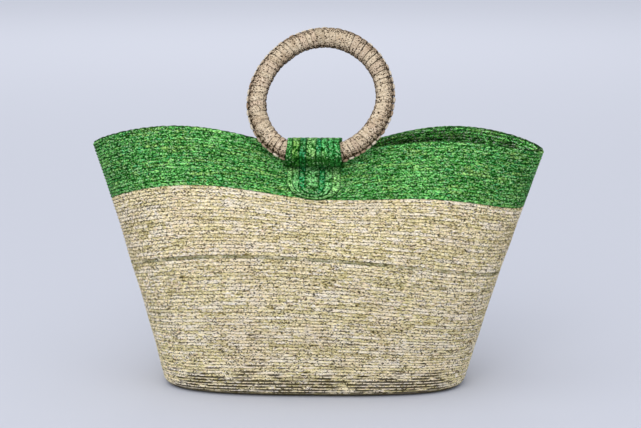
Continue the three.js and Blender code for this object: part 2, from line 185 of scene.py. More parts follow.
def plait_height(u, v, row):
    """Height in mm over the wall: a band, the sine of half a turn less a slope, that
    starts proud at its lower edge and dives under the next row, plus the swell of each
    strand between its creases, the root of a sine. The thread is drawn tighter in some
    places, by the product of two slow sine waves."""
    tight = 0.8 + 0.4 * np.sin(0.29 * u + 1.9 * row) * np.sin(0.13 * u - 2.6 * row)
    band = 0.02 + (band_swell * np.sin(np.pi * v) - band_dive * v) * tight
    swell = np.abs(np.sin(np.pi * strand_phase(u, v, row))) ** 0.7 - 0.62
    return band + strand_swell * swell * np.sin(np.pi * np.clip(v, 0.04, 0.96)) ** 0.5


print("a pair of strands crosses an edge every", strand_length, "mm")

# %% [markdown]
# The sizes of the bag in millimetres, as a basket maker would note them: floor, belly
# and mouth, and how far use has pulled it out of shape. They could stand where they are
# used, but then a wider bag would take many edits instead of one.

# %% Sizes of the bag
# The floor: half length, half width, the radius of the bend and the margin inside it.
base_half_length, base_half_width, bottom_bend, floor_ring = 153.0, 68.0, 11.0, 14.0
# The belly, and how high the rim goes in its lobes and at its ends.
belly_half_width, belly_height, lobe_height, end_height = 87.0, 150.5, 269.6, 238.8
# The mouth: its size, its slip to the right and tilt, how the handles drag it down and
# in, how much further the back one does, and how far belly and rim are twisted.
mouth_half_width, mouth_half_length = 29.4, 224.0
mouth_shift, mouth_tilt, rim_sag, rim_sag_spread = 3.8, -2.7, 31.0, 103.0
rim_pinch, back_sag_extra, belly_twist, rim_twist = 0.26, 5.0, 3.6, 5.6
# Exponents of the plan, and how the ends thicken, blend in and bow.
base_squareness, mouth_squareness = 2.85, 1.97
end_thickening, end_blend, end_bow = 0.6, 2.2, 2.6
braid_thickness, tab_centre, dyed_height = 4.5, 1.5, 65.0
print("foot", 2 * base_half_length, "by", 2 * base_half_width, "mm, mouth",
      2 * mouth_half_length, "mm long, lobes", lobe_height, "mm high before they sag")

# %% [markdown]
# The bag is a soft shell. Two sections rule it: one up the middle of a long wall, one up
# a pinched end. In between, the plan is a superellipse, nearly a rounded box on the floor
# and an eye shape at the mouth. The handles pull the rim down and the walls together in
# the middle, and the whole shell is a little twisted, as a bag that has been carried is.
# It could be sculpted, or sagged as cloth; a formula holds the outline where it belongs.

# %% Sections of the shell
section_steps = 5000


def mix(a, b, share):
    """a at share 0, b at share 1."""
    return a + (b - a) * share


def smooth_line(points, steps=300):
    """A curve through the points: on each stretch a cubic whose slope at a point is half
    the way from its neighbour before to its neighbour after."""
    p = np.array([points[0], *points, points[-1]], float)
    t = np.linspace(0, 1, steps)[:, None, None]
    a, b, c, d = (p[i : len(p) - 3 + i][None] for i in range(4))
    s, e = (c - a) / 2, (d - b) / 2
    curve = (2 * b - 2 * c + s + e) * t**3 + (3 * c - 3 * b - 2 * s - e) * t**2 + s * t + b
    return curve.transpose(1, 0, 2).reshape(-1, 2)


def section(start, lean, rest):
    """A flat margin, a round bend up to the lean, then the rest of the wall, given as
    evenly spaced points with the direction of the wall at each, and the whole length."""
    a = np.linspace(-np.pi / 2, -lean, 200)
    bend = bottom_bend * np.stack([np.cos(a), 1 + np.sin(a)], 1) + [start, 0.0]
    line = np.vstack([[[start - floor_ring, 0.0]], bend, rest(bend[-1])])
    run = np.concatenate([[0], np.cumsum(np.hypot(*np.diff(line, axis=0).T))])
    share = np.linspace(0, run[-1], section_steps + 1)
    even = np.stack([np.interp(share, run, line[:, 0]), np.interp(share, run, line[:, 1])], 1)
    k = np.arange(section_steps + 1)
    ahead = even[np.minimum(k + 5, section_steps)] - even[np.maximum(k - 5, 0)]
    return even, ahead / np.linalg.norm(ahead, axis=1)[:, None], run[-1]


upper = [
    (mix(base_half_width, belly_half_width, 0.76), belly_height * 0.6),
    (belly_half_width, belly_height),
    (mix(mouth_half_width, belly_half_width, 0.62), mix(belly_height, lobe_height, 0.59)),
    (mouth_half_width, lobe_height),
]
side_lean = np.radians(12)
end_lean = np.arctan2(mouth_half_length - base_half_length, end_height - bottom_bend)
side = section(base_half_width - bottom_bend, side_lean, lambda p: smooth_line([p, *upper]))
end = section(base_half_length - bottom_bend, end_lean,
              lambda p: np.array([[mouth_half_length, end_height]]))
slant = side[2]
colour_level = 1 - dyed_height / slant
print("the wall is", round(slant, 1), "mm from floor margin to rim")
print("the dye starts at level", round(colour_level, 3))

# %% [markdown]
# A point of the shell needs a direction in plan, a level between floor (0) and rim (1)
# and a depth in from the outside. A loft through drawn curves would give much the same
# form, but a formula can be asked for any point, also one inside the wall.

# %% The shell


def ease(level, start):
    """0 up to start, then an S-curve to 1."""
    t = np.clip((level - start) / (1 - start), 0, 1)
    return t * t * (3 - 2 * t)


def section_point(which, level, depth):
    """A section's point at a level, moved in at right angles by depth."""
    even, along, _ = which
    k = np.clip(level, 0, 1) * section_steps
    at = np.arange(section_steps + 1)
    x, z = np.interp(k, at, even[:, 0]), np.interp(k, at, even[:, 1])
    return x - np.interp(k, at, along[:, 1]) * depth, z + np.interp(k, at, along[:, 0]) * depth


def lift(level):
    """Nothing twists or tilts on the flat floor: 0 there, 1 from a quarter way up."""
    return ease(np.minimum(1, level * 4), 0.35)


def shell_at(c, s, level, depth):
    """c and s give the place in plan, from -1 to 1 along the bag and across it.
    Width from the side section, length from the end section, height blended from one
    to the other with |c| to the power 2.2; then sag, pinch, twist and tilt."""
    wx, wz = section_point(side, level, depth)
    lx, lz = section_point(end, level, depth * (1 + end_thickening * level))
    x = (lx - end_bow * np.sin(np.pi * level) * lift(level)) * c
    dip = np.exp(-(((x - tab_centre) / rim_sag_spread) ** 2))
    sag = rim_sag + back_sag_extra * np.maximum(s, 0)
    pinch = mouth_half_width * rim_pinch * ease(level, 0.5) * dip
    bow = np.sin(np.pi * level / 1.1)
    twist = belly_twist * bow + (rim_twist - belly_twist * np.sin(np.pi / 1.1)) * level**2
    z = mix(wz, lz, np.abs(c) ** end_blend) - sag * ease(level, 0.45) * dip
    z = z + (np.sin(2 * np.arctan2(s, c)) * twist + c * mouth_tilt * level) * lift(level)
    return np.stack(np.broadcast_arrays(x + mouth_shift * level, (wx - pinch) * s, z), -1)


def shell(direction, level, depth):
    """direction is an angle; the superellipse |c|^n + |s|^n = 1 gives c and s."""
    n = mix(base_squareness, mouth_squareness, level)
    c, s = np.cos(direction), np.sin(direction)
    size = (np.abs(c) ** n + np.abs(s) ** n) ** (-1 / n)
    return shell_at(c * size, s * size, level, depth)


print("the left tip of the mouth is at", shell(np.pi, 1.0, 0.0).round(1))

# %% [markdown]
# Directions along a row. Equal angles would crowd the strands at the ends of the bag and
# stretch them along its walls. So each row is measured and cut into equal steps, which
# is what laying the same plait all the way round does.

# %% Even directions


def even_directions(levels, columns):
    """For each level, directions whose points lie the same distance apart round the
    row, and the length of the row."""
    dense = np.linspace(0, 2 * np.pi, 1801)
    points = shell(dense[None], levels[:, None], 0.0)
    run = np.cumsum(np.linalg.norm(np.diff(points, axis=1), axis=2), axis=1)
    run = np.concatenate([np.zeros((len(levels), 1)), run], 1)
    share = np.arange(columns) / columns
    found = [np.interp(share * r[-1], r, dense) for r in run]
    return np.array(found), run[:, -1]


print("round the rim:", round(float(even_directions(np.array([1.0]), 8)[1][0])), "mm")

# %% [markdown]
# Rows. The floor margin and the undyed wall take seventy, packed a little closer low
# down, and the dyed band eighteen. Every row is seven lines of points on the outside
# and three on the inside, so that the lap, the rounding and the strands are real relief
# and show along the edge of the bag too. A bump map alone would be lighter, but it
# leaves outlines smooth, and a ragged outline is what tells plait from painted cloth.

# %% Row edges
natural_rows, green_rows, columns = 70, 18, 560
low_rows, low_level = 33, 0.342
row_edges = np.concatenate([
    np.linspace(0, low_level, low_rows + 1),
    np.linspace(low_level, colour_level, natural_rows - low_rows + 1)[1:],
    np.linspace(colour_level, 1, green_rows + 1)[1:],
])
row_round, row_length = even_directions((row_edges[1:] + row_edges[:-1]) / 2, columns)
strands = np.round(row_length / strand_length)
outside_lines = np.array([0, 0.12, 0.3, 0.48, 0.66, 0.84, 1.0])
inside_lines = np.array([0.0, 0.5, 1.0])
print("rows", len(row_edges) - 1, "pitch", round(slant * (row_edges[1] - row_edges[0]), 2), "mm")


def sway(direction, level):
    """The hand-made wall is never quite even: three slow waves, half a millimetre."""
    wave = np.sin(3 * direction + 9 * level) + 0.7 * np.sin(7 * direction - 17 * level + 1)
    wave = wave + 0.6 * np.sin(12 * direction + 31 * level + 2)
    return 0.22 * wave * np.sin(np.pi * np.clip(level, 0, 1))


def wall_rows(first, last, inside):
    """Lines of points of rows first to last - 1, outside or inside, always from the
    lowest up, with the rows' numbers and the places of the lines across a row. The plait
    stands up to 1.9 times as proud at the ends of the bag, by |cos| to the power 10, and
    lies flatter on the floor margin."""
    rows = np.arange(first, last)
    v = inside_lines if inside else outside_lines
    level = row_edges[rows][:, None] + np.diff(row_edges)[rows][:, None] * v[None]
    level = level[:, :, None]
    direction = row_round[rows][:, None, :]
    u = strands[rows][:, None] * np.arange(columns)[None] / columns
    height = plait_height(u[:, None, :], v[None, :, None], rows[:, None, None])
    height = height * (1 + 0.9 * np.abs(np.cos(direction)) ** 10)
    height = height * np.clip(level * 25, 0.4, 1)
    depth = braid_thickness + height * 0.8 if inside else -height
    points = shell(direction, level, depth - sway(direction, level))
    return points.reshape(-1, columns, 3), rows, v

# %% [markdown]
# A wall piece is a closed ring of some rows: up the outside, over the rim or a flat
# joint, and down the inside. Each face carries plait coordinates, like a tape laid along
# the row: x counts pairs of strands, and y is the row's number plus the place across it.
# Unwrapping by hand would give coordinates too, but these follow the plait exactly. The
# inside counts from 100 and the brim from 300, so that a material can tell them apart.

# %% Wall pieces
row_gap, step_height = 0.004, 0.03
inside_mark, brim_mark = 100, 300


def row_faces(rows, v, offset):
    """For the lines of points of these rows, the strand counts and the two cross
    coordinates of the face rows between them, with the step between two rows as its own
    thin face at the foot of the upper row."""
    low = np.append(within(v[:-1], row_gap), 1 + row_gap)
    high = np.append(within(v[1:], row_gap), 1 + step_height)
    row = rows[:, None] + offset
    return np.repeat(strands[rows], len(v)), (row + low).ravel(), (row + high).ravel()


def rim_cap(last):
    """Three lines of points over the rim, along half a turn of a sine, with beads where
    the strands turn over the edge; and the cross coordinates of the faces there."""
    depth = np.array([0.15, 0.5, 0.85])[:, None]
    top = shell(row_round[last - 1][None], 1.0, depth * braid_thickness)
    u = strands[last - 1] * np.arange(columns) / columns
    bead = 0.55 + 0.8 * np.abs(np.sin(np.pi * strand_phase(u * 0.8, 0.5, 0)))
    top[:, :, 2] += np.sin(np.pi * depth) * bead
    steps = np.array([0.1, 0.4, 0.7, 1.0])
    low = brim_mark + np.append(0, steps[:3])
    high = brim_mark + np.append(steps[0], steps[1:] - row_gap)
    return top, low, high


def wall_piece(name, first, last, material, node, rim=False):
    """A closed ring: up the outside, over the rim or a flat joint, down the inside."""
    outer, rows, v = wall_rows(first, last, False)
    inner, _, w = wall_rows(first, last, True)
    count, low, high = row_faces(rows, v, 0)
    top = np.zeros((0, columns, 3))
    if rim:
        top, cap_low, cap_high = rim_cap(last)
        count = np.concatenate([count, np.full(len(top), strands[last - 1])])
        low = np.concatenate([low[:-1], cap_low])
        high = np.concatenate([high[:-1], cap_high])
    back_count, back_low, back_high = row_faces(rows, w, inside_mark)
    count = np.concatenate([count, back_count[:-1][::-1], strands[rows[:1]]])
    low = np.concatenate([low, back_high[:-1][::-1], [rows[0] + row_gap]])
    high = np.concatenate([high, back_low[:-1][::-1], [rows[0] + step_height]])
    points = np.concatenate([outer, top, inner[::-1]])
    quads = grid_quads(len(points), columns, True, True)
    uv = face_uv(count, low, high, columns)
    add_piece(name, points.reshape(-1, 3), quads.reshape(-1, 4),
              uv.reshape(-1, 4, 2), material, "bag", [node])


print("rows carry", int(strands[0]), "to", int(strands.max()), "pairs of strands")

# %% [markdown]
# Materials. Palm leaf is a dull, slightly waxy ribbon with fine lines along it. What the
# eye reads on the bag is mostly the tone of single strands, light beside dark, then the
# pits where they dive under each other and the dark slots between rows, both painted
# shade. A material is a sum of many such small signals. Nodes can be dragged together by
# hand in the editor; here a class lets sockets be added and multiplied like numbers,
# which is shorter to read, and every step still makes one ordinary Math node.

# %% Signals


def plug(tree, value, socket):
    """Links a signal to a socket, or types a number, tuple or colour into it."""
    if isinstance(value, Signal):
        tree.links.new(value.socket, socket)
    elif isinstance(value, tuple) and len(socket.default_value) == 4:
        socket.default_value = (*value, 1.0)
    else:
        socket.default_value = value


class Signal:
    """A value that changes over the surface: an output socket of a node tree."""

    def __init__(self, tree, socket):
        """Remembers the tree, so that later nodes are made in it."""
        self.tree, self.socket = tree, socket

    def math(self, operation, *others, clamp=False, flip=False):
        """One Math node with this signal first, or last where flip is set."""
        node = self.tree.nodes.new("ShaderNodeMath")
        node.operation, node.use_clamp = operation, clamp
        values = (*others, self) if flip else (self, *others)
        for socket, value in zip(node.inputs, values):
            plug(self.tree, value, socket)
        return Signal(self.tree, node.outputs[0])

    def __add__(self, other):
        """This signal plus another or a number."""
        return self.math("ADD", other)

    def __sub__(self, other):
        """This signal less another or a number."""
        return self.math("SUBTRACT", other)

    def __rsub__(self, other):
        """A number less this signal."""
        return self.math("SUBTRACT", other, flip=True)

    def __mul__(self, other):
        """This signal times another or a number."""
        return self.math("MULTIPLY", other)

    __radd__, __rmul__ = __add__, __mul__

    def most(self, other):
        """The greater of two signals."""
        return self.math("MAXIMUM", other)

    def least(self, other):
        """The smaller of two signals."""
        return self.math("MINIMUM", other)

    def held(self):
        """The signal, held between 0 and 1."""
        return self.math("MULTIPLY", 1.0, clamp=True)

    def edge(self):
        """Distance from the nearer whole number, for the borders of cells."""
        part = self.math("FRACT")
        return part.least(1.0 - part)

    def ease(self, low, high, start=0.0, stop=1.0):
        """Moves low..high to start..stop with an S-curve and holds it there."""
        node = self.tree.nodes.new("ShaderNodeMapRange")
        node.interpolation_type = "SMOOTHSTEP"
        for socket, value in zip(node.inputs, (self, low, high, start, stop)):
            plug(self.tree, value, socket)
        return Signal(self.tree, node.outputs[0])


print("a signal can:", ", ".join(name for name in vars(Signal) if not name.startswith("_")))

# %% [markdown]
# Every finish starts from the Principled shader with very little gloss, because dry leaf
# shines only in single fibres. A pattern reads one of two places: the piece's own plait
# coordinates, which follow the rows, or Object coordinates, which stay still in the
# leaf while the bag turns. Window or camera coordinates would slide over the bag.

# %% Places and normals
dull_gloss = 0.04


def new_material(name, roughness):
    """A material with its Principled shader; returns it, its tree and the shader."""
    material = bpy.data.materials.new(name)
    material.use_nodes = True
    tree = material.node_tree
    shader = tree.nodes["Principled BSDF"]
    shader.inputs["Roughness"].default_value = roughness
    shader.inputs["Specular IOR Level"].default_value = dull_gloss
    return material, tree, shader


def own_uv(tree):
    """The piece's plait coordinates: x along the row, y the row and the place across."""
    node = tree.nodes.new("ShaderNodeUVMap")
    node.uv_map = "plait"
    return Signal(tree, node.outputs[0])


def own_place(tree):
    """The place on the piece in metres."""
    return Signal(tree, tree.nodes.new("ShaderNodeTexCoord").outputs["Object"])


def triple(tree, x, y, z):
    """Three numbers or signals as one vector."""
    node = tree.nodes.new("ShaderNodeCombineXYZ")
    for socket, value in zip(node.inputs, (x, y, z)):
        plug(tree, value, socket)
    return Signal(tree, node.outputs[0])


def parts(vector):
    """The three numbers of a vector."""
    node = vector.tree.nodes.new("ShaderNodeSeparateXYZ")
    plug(vector.tree, vector, node.inputs[0])
    return [Signal(vector.tree, socket) for socket in node.outputs]


def relief(shader, height, distance):
    """A Bump node of that depth in metres into the shader's normal."""
    node = height.tree.nodes.new("ShaderNodeBump")
    node.inputs["Distance"].default_value = distance
    plug(height.tree, height, node.inputs["Height"])
    height.tree.links.new(node.outputs[0], shader.inputs["Normal"])


print("dull leaf keeps a gloss of", dull_gloss)

# %% [markdown]
# Chance comes from three textures: white noise deals one number to each strand, soft
# noise lets colours drift over the wall, and Voronoi cells are flakes with hard edges,
# which look like torn fibre. Colours are mixed, or multiplied by a tone. Multiplying
# alone makes dark places dull, so a tone can lose more of one colour than of another.

# %% Chance and colour


def dice(tree, x, y, z):
    """One steady random number for each whole cell."""
    node = tree.nodes.new("ShaderNodeTexWhiteNoise")
    node.noise_dimensions = "3D"
    plug(tree, triple(tree, x, y, z), node.inputs["Vector"])
    return Signal(tree, node.outputs["Value"])


def cloud(vector, scale, detail=2.0):
    """Soft noise, mostly between 0.25 and 0.75."""
    node = vector.tree.nodes.new("ShaderNodeTexNoise")
    for name, value in (("Vector", vector), ("Scale", scale), ("Detail", detail)):
        plug(vector.tree, value, node.inputs[name])
    return Signal(vector.tree, node.outputs["Fac"])


def flakes(tree, x, y, z):
    """Irregular cells about one unit wide, with three random numbers for each."""
    node = tree.nodes.new("ShaderNodeTexVoronoi")
    node.inputs["Scale"].default_value = 1.0
    plug(tree, triple(tree, x, y, z), node.inputs["Vector"])
    return parts(Signal(tree, node.outputs["Color"]))


def blend(share, a, b):
    """Mixes two colours by a signal; each colour may be a signal or three numbers."""
    node = share.tree.nodes.new("ShaderNodeMix")
    node.data_type, node.blend_type, node.clamp_factor = "RGBA", "MIX", True
    for socket, value in zip((node.inputs[0], node.inputs[6], node.inputs[7]), (share, a, b)):
        plug(share.tree, value, socket)
    return Signal(share.tree, node.outputs[2])


def shade(colour, tone, loss=(0.0, 0.0, 0.0)):
    """Darkens or brightens a colour by a tone, where 1 leaves it as it is. The losses of
    red, green and blue come off every tone, so that dark places are the deeper hue, and
    no tone falls below 0."""
    tree = tone.tree
    node = tree.nodes.new("ShaderNodeMix")
    node.data_type, node.blend_type = "RGBA", "MULTIPLY"
    node.inputs[0].default_value = 1.0
    plug(tree, colour, node.inputs[6])
    left = ((tone - part).most(0.0) for part in loss)
    plug(tree, triple(tree, *left), node.inputs[7])
    return Signal(tree, node.outputs[2])


print("three kinds of chance: dice, cloud, flakes; two ways to colour: blend, shade")

# %% [markdown]
# A node group is a tool that several materials share. It could also be copied into each
# of them, but then a change has to be made in each copy. A group gives out masks and
# numbers only; the shader stays in the material.

# %% Making groups


def new_group(name, vectors, numbers, outputs):
    """An empty node group; returns it with its inner sockets by name."""
    group = bpy.data.node_groups.new(name, "ShaderNodeTree")
    face = group.interface
    for socket in vectors:
        face.new_socket(name=socket, in_out="INPUT", socket_type="NodeSocketVector")
    for socket, number in numbers.items():
        made = face.new_socket(name=socket, in_out="INPUT", socket_type="NodeSocketFloat")
        made.default_value = number
    for socket in outputs:
        face.new_socket(name=socket, in_out="OUTPUT", socket_type="NodeSocketFloat")
    inner = group.nodes.new("NodeGroupInput").outputs
    given = {name: Signal(group, inner[name]) for name in (*vectors, *numbers)}
    return group, given, group.nodes.new("NodeGroupOutput").inputs


def use_group(tree, group, **values):
    """Places a group and returns its outputs as signals by name."""
    node = tree.nodes.new("ShaderNodeGroup")
    node.node_tree = group
    for name, value in values.items():
        plug(tree, value, node.inputs[name])
    return {socket.name: Signal(tree, socket) for socket in node.outputs}


print("node groups before the plait:", len(bpy.data.node_groups))

# %% [markdown]
# The first group knows which row and strand a point is on. It repeats the rule that
# raised the strands, node by node, so a strand's colour ends where its mesh dips. A
# brick texture would be quicker, but its bricks neither slant nor follow the relief.

# %% The strand group
plait_masks = ("Strand", "Second", "Run", "Stretch", "Crease", "Line", "Pit", "Slot",
               "Dash", "Fibre")


def strand_group():
    """Row = whole part of y, v = the rest. The pair count is that of strand_phase, and
    twice that counts single strands. Strand and Second are dice for each strand, and Run
    is a soft tone along the row. Stretch, Dash and Fibre are random tones of flakes about
    four pairs, two and a half pairs and a third of a pair long. Crease, Line, Pit and Slot
    mark painted shade: Crease the creases between strands and along the middle line, Line
    the edges of a row, most of all its upper part under the next row. Pits sit where
    strands dive under the next row, on the given share of strands. Slots are stretches of
    the upper part of a row that stay dark; where more are asked for they are wider too."""
    group, given, gives = new_group(
        "plait_strands", ["Plait"], {"Pits": 0.5, "Slots": 0.5}, plait_masks)
    u, y, _ = parts(given["Plait"])
    row, v = y.math("FLOOR"), y.math("FRACT")
    warp = sum(size * (u * along + row * step).math("SINE") for size, along, step in slow_waves)
    away = (v * 2.0 - 1.0).math("ABSOLUTE")
    upper = v.math("GREATER_THAN", 0.5)
    single = 2.0 * (u + warp + away * strand_shift + upper * 0.5)
    cell, key = single.math("FLOOR"), row * 2.0 + upper
    run = cloud(triple(group, u * 0.33, row * 3.7, 0.0), 1.0, 1.0)
    line = v.ease(0.72, 0.9) + v.ease(0.0, 0.1, 0.5, 0.0)
    dive = away.ease(0.45, 0.8) + away.ease(0.0, 0.25, 0.45, 0.0)
    chance = dice(group, (single + 0.5).math("FLOOR"), key, 11.0)
    gap = cloud(triple(group, u * 0.36, row * 9.1, 4.0), 1.0)
    slot = ((gap - (0.86 - given["Slots"] * 0.5)) * 9.0).held()
    results = {
        "Strand": dice(group, cell, key, 1.0),
        "Second": dice(group, cell, key, 7.0),
        "Run": run,
        "Stretch": flakes(group, u * 0.24, row * 1.3, 9.0)[0],
        "Crease": single.edge().ease(0.0, 0.17, 1.0, 0.0).most(away.ease(0.0, 0.16, 0.6, 0.0)),
        "Line": line * run.ease(0.34, 0.6, 0.25, 1.0),
        "Pit": dive * single.edge().ease(0.08, 0.34, 1.0, 0.0)
        * chance.math("LESS_THAN", given["Pits"]),
        "Slot": slot * (v + given["Slots"] * 0.17).ease(0.5, 0.66),
        "Dash": flakes(group, u * 0.42, key * 5.3, 0.5)[0],
        "Fibre": flakes(group, single * 1.5, v * 4.0, key * 7.3)[0],
    }
    for name, signal in results.items():
        plug(group, signal, gives[name])
    return group


plait_group = strand_group()
print("strand group has", len(plait_group.nodes), "nodes")

# %% [markdown]
# The second group is the grain of the leaf, too fine for a strand: the little torn
# fibres, the specks of shade and the glints, which are painted highlights of single
# shining fibres, that make palm work look sandy from a metre away. Soft noise looks like
# mist at this size; flakes with hard edges look like fibre.

# %% The grain group


def grain_group():
    """Grain is one random tone for each flake of about a millimetre, pushed towards 0
    and 1. Speck and Glint are 1 on the given shares of flakes a quarter wider; Count
    says how many of the small flakes go to a metre. Specks are dark, and on the walls and
    tabs they are painted shade; Glints are painted highlights."""
    settings = {"Count": 980.0, "Specks": 0.09, "Glints": 0.08}
    group, given, gives = new_group(
        "leaf_grain", ["Place"], settings, ["Grain", "Speck", "Glint"])
    x, y, z = parts(given["Place"])
    count = given["Count"]
    tone = flakes(group, x * count, y * count, z * count * 1.4)[0]
    wide = count * 0.8
    first, second, _ = flakes(group, x * wide, y * wide + 7.0, z * wide * 1.2)
    plug(group, tone.ease(0.1, 0.9), gives["Grain"])
    plug(group, first.math("LESS_THAN", given["Specks"]), gives["Speck"])
    plug(group, second.math("LESS_THAN", given["Glints"]), gives["Glint"])
    return group


leaf_grain = grain_group()
print("grain group has", len(leaf_grain.nodes), "nodes")

# %% [markdown]
# Undyed palm. Four leaf colours are dealt out to the strands: cream, a whitish lilac
# where the leaf has bleached, olive yellow and a pinkish tan. One row a little above the
# middle was plaited from greener leaf and shows as a broken grey line, with a fainter
# one five rows below it. Slots of painted shade between the rows open where the wall
# bends under; creases and holes get brown painted shade, and glints a painted highlight
# in straw white. A painted texture could show all this too, but only as sharp as it was
# painted.

# %% Undyed palm colours
cream, bleached = (0.88, 0.82, 0.63), (0.84, 0.82, 0.83)
olive, tan = (0.68, 0.64, 0.375), (0.72, 0.62, 0.51)
# The straw white is a painted highlight for glints; the crease and hole browns on the next line
# are painted shade.
grey_green, straw_glint_white = (0.20, 0.22, 0.13), (0.97, 0.93, 0.82)
crease_shade_brown, hole_shade_brown = (0.18, 0.13, 0.03), (0.022, 0.014, 0.003)
grey_row, faint_row = 49, 44
undyed_loss = (0.0, 0.08, 0.26)
leaf_depth = 0.0005      # of the finest relief, in metres


def on_row(row, wanted):
    """1 on one row of the plait."""
    return row.math("COMPARE", float(wanted), 0.5)


def undyed_colours(place, row, mask, grain):
    """Each strand's own colour, then longer stretches of row, clouds of tan over the
    wall and the two greener rows, which show where the dashes and the grain let them."""
    base = blend(mask["Strand"].ease(0.42, 0.5), cream, bleached)
    base = blend(mask["Strand"].ease(0.62, 0.68), base, olive)
    base = blend(mask["Strand"].ease(0.86, 0.9), base, tan)
    base = blend(mask["Run"].ease(0.4, 0.66, 0.0, 0.5), base, cream)
    base = blend(mask["Stretch"].ease(0.2, 0.26, 0.6, 0.0), base, olive)
    base = blend(mask["Stretch"].ease(0.78, 0.82, 0.0, 0.5), base, bleached)
    base = blend(cloud(place, 24.0, 3.0).ease(0.45, 0.7, 0.0, 0.35), base, tan)
    old = (0.45 + grain["Grain"] * 0.5).most(mask["Dash"])
    for number, shown in ((grey_row, mask["Run"].ease(0.34, 0.52, 0.3, 0.95)),
                          (faint_row, mask["Run"].ease(0.5, 0.62, 0.0, 0.6))):
        base = blend(on_row(row, number) * shown * old, base, grey_green)
    return base


print("undyed leaf has", len((cream, bleached, olive, tan)), "colours; grey row", grey_row)

# %% [markdown]
# The same palm again, now with wear and painted shade. Low down the wall bends under,
# so slots of painted shade open between the rows, and light and dark come in longer
# dashes; the pinched ends are speckled more and have almost no slots. The very foot is
# painted dark, as the shadow where it meets the floor. Such marks could be painted by
# hand as a mask; heights and distances do it here, so they follow the shape.

# %% Undyed palm material


def natural_material():
    """Colours times a tone, which is a weighted sum of the masks held between 0.2 and
    1.34; then glints as painted highlights, and creases, lines, dark holes and the foot
    as painted shade over it, and all of it as relief."""
    material, tree, shader = new_material("undyed_palm", 0.62)
    place, plait = own_place(tree), own_uv(tree)
    across, _, height = parts(place)
    low, deep = height.ease(0.02, 0.17, 1.0, 0.0), height.ease(0.012, 0.05, 1.0, 0.0)
    ends = (across - 0.003).math("ABSOLUTE").ease(0.11, 0.19)
    gaps = height.ease(0.012, 0.16, 0.585, 0.1) + height.ease(0.012, 0.032, 0.42, 0.0)
    mask = use_group(tree, plait_group, Plait=plait, Pits=height.ease(0.0, 0.12, 0.6, 0.42),
                     Slots=gaps * (1.0 - ends * 0.9))
    specks = 0.085 + ends * 0.075 + low * 0.035
    grain = use_group(tree, leaf_grain, Place=place, Count=1080.0, Specks=specks)
    base = undyed_colours(place, parts(plait)[1].math("FLOOR"), mask, grain)
    tone = mask["Fibre"] * 0.68 + grain["Grain"] * (0.96 - low * 0.34)
    tone = tone + mask["Dash"] * (0.22 + low * 0.4) + mask["Stretch"] * 0.22
    tone = (tone * 1.08 + mask["Second"] * 0.15 + deep * 0.26).most(0.2).least(1.34)
    base = shade(base, tone, undyed_loss)
    # Glints are painted highlights in pale straw.
    base = blend(grain["Glint"] * 0.6, base, straw_glint_white)
    # Painted shade: brown in the creases between strands and in the lines between rows, stronger
    # low down.
    base = blend(mask["Crease"] * (0.05 + 0.45 * grain["Grain"]), base, crease_shade_brown)
    line = mask["Line"] * (0.24 + low * (0.16 + mask["Dash"] * 0.5))
    base = blend(line, base, crease_shade_brown)
    # Painted shade: pits, slots, dark specks and the very foot, where the wall meets the floor, go
    # dark brown.
    foot = height.ease(0.0015, 0.006, 1.0, 0.0)
    dark = mask["Pit"].most(mask["Slot"]).most(grain["Speck"]).most(foot)
    plug(tree, blend(dark * 0.92, base, hole_shade_brown), shader.inputs["Base Color"])
    plug(tree, mask["Strand"].ease(0.0, 1.0, 0.5, 0.72), shader.inputs["Roughness"])
    fine = grain["Grain"] * 0.6 + mask["Fibre"] * 0.4
    relief(shader, fine - dark - mask["Line"], leaf_depth)
    return material


undyed = natural_material()
print(undyed.name, "has", len(undyed.node_tree.nodes), "nodes")

# %% [markdown]
# Dyed palm. Aniline green takes unevenly: bright leaf green beside bottle green, with an
# olive strand where the leaf was old and a bluish one where the dye lay thick. A green
# tint over the undyed palm would be quicker, but dyed leaf is darker in its pits and
# deeper in hue, so the shades are dealt out anew. Grain, the painted shade of creases
# and pits and the painted highlights of glints are the same on the wall and on the tabs,
# so they have a function of their own.

# %% Dyed leaf
leaf_green, bottle_green = (0.205, 0.46, 0.165), (0.024, 0.165, 0.022)
# The two pale colours are painted highlights for glints, outside and inside.
green_glint_pale, inside_glint_pale = (0.40, 0.69, 0.33), (0.78, 0.86, 0.72)
dyed_olive, dyed_blue = (0.31, 0.39, 0.13), (0.065, 0.32, 0.19)
# Painted shade in creases and in holes.
dyed_crease_shade, dyed_hole_shade = (0.005, 0.07, 0.004), (0.001, 0.032, 0.001)
dyed_loss = (0.42, 0.0, 0.42)


def dyed_finish(tree, shader, base, mask, grain, bright=green_glint_pale):
    """The tone is grain times fibre times stretches, held between 0.12 and 2.6; glints as
    painted highlights, and creases and pits as painted shade, go over it, and all of it
    is relief."""
    fine = (0.14 + grain["Grain"] * 1.02) * (0.22 + mask["Fibre"].ease(0.15, 0.85) * 0.9)
    fine = fine * (0.68 + mask["Stretch"] * 0.42 + mask["Dash"] * 0.22)
    base = shade(base, (fine * 3.65).most(0.12).least(2.6), dyed_loss)
    # Glints are painted highlights; creases, lines, pits, slots and specks are painted shade.
    base = blend(grain["Glint"] * 0.85, base, bright)
    crease = mask["Crease"].most(mask["Line"]) * (0.15 + 0.5 * grain["Grain"])
    base = blend(crease, base, dyed_crease_shade)
    dark = mask["Pit"].most(mask["Slot"]).most(grain["Speck"])
    plug(tree, blend(dark * 0.92, base, dyed_hole_shade), shader.inputs["Base Color"])
    plug(tree, mask["Strand"].ease(0.0, 1.0, 0.42, 0.62), shader.inputs["Roughness"])
    fine = grain["Grain"] * 0.6 + mask["Fibre"] * 0.4
    relief(shader, fine - dark - mask["Line"], leaf_depth)


print("dye ranges from", bottle_green, "to", leaf_green)
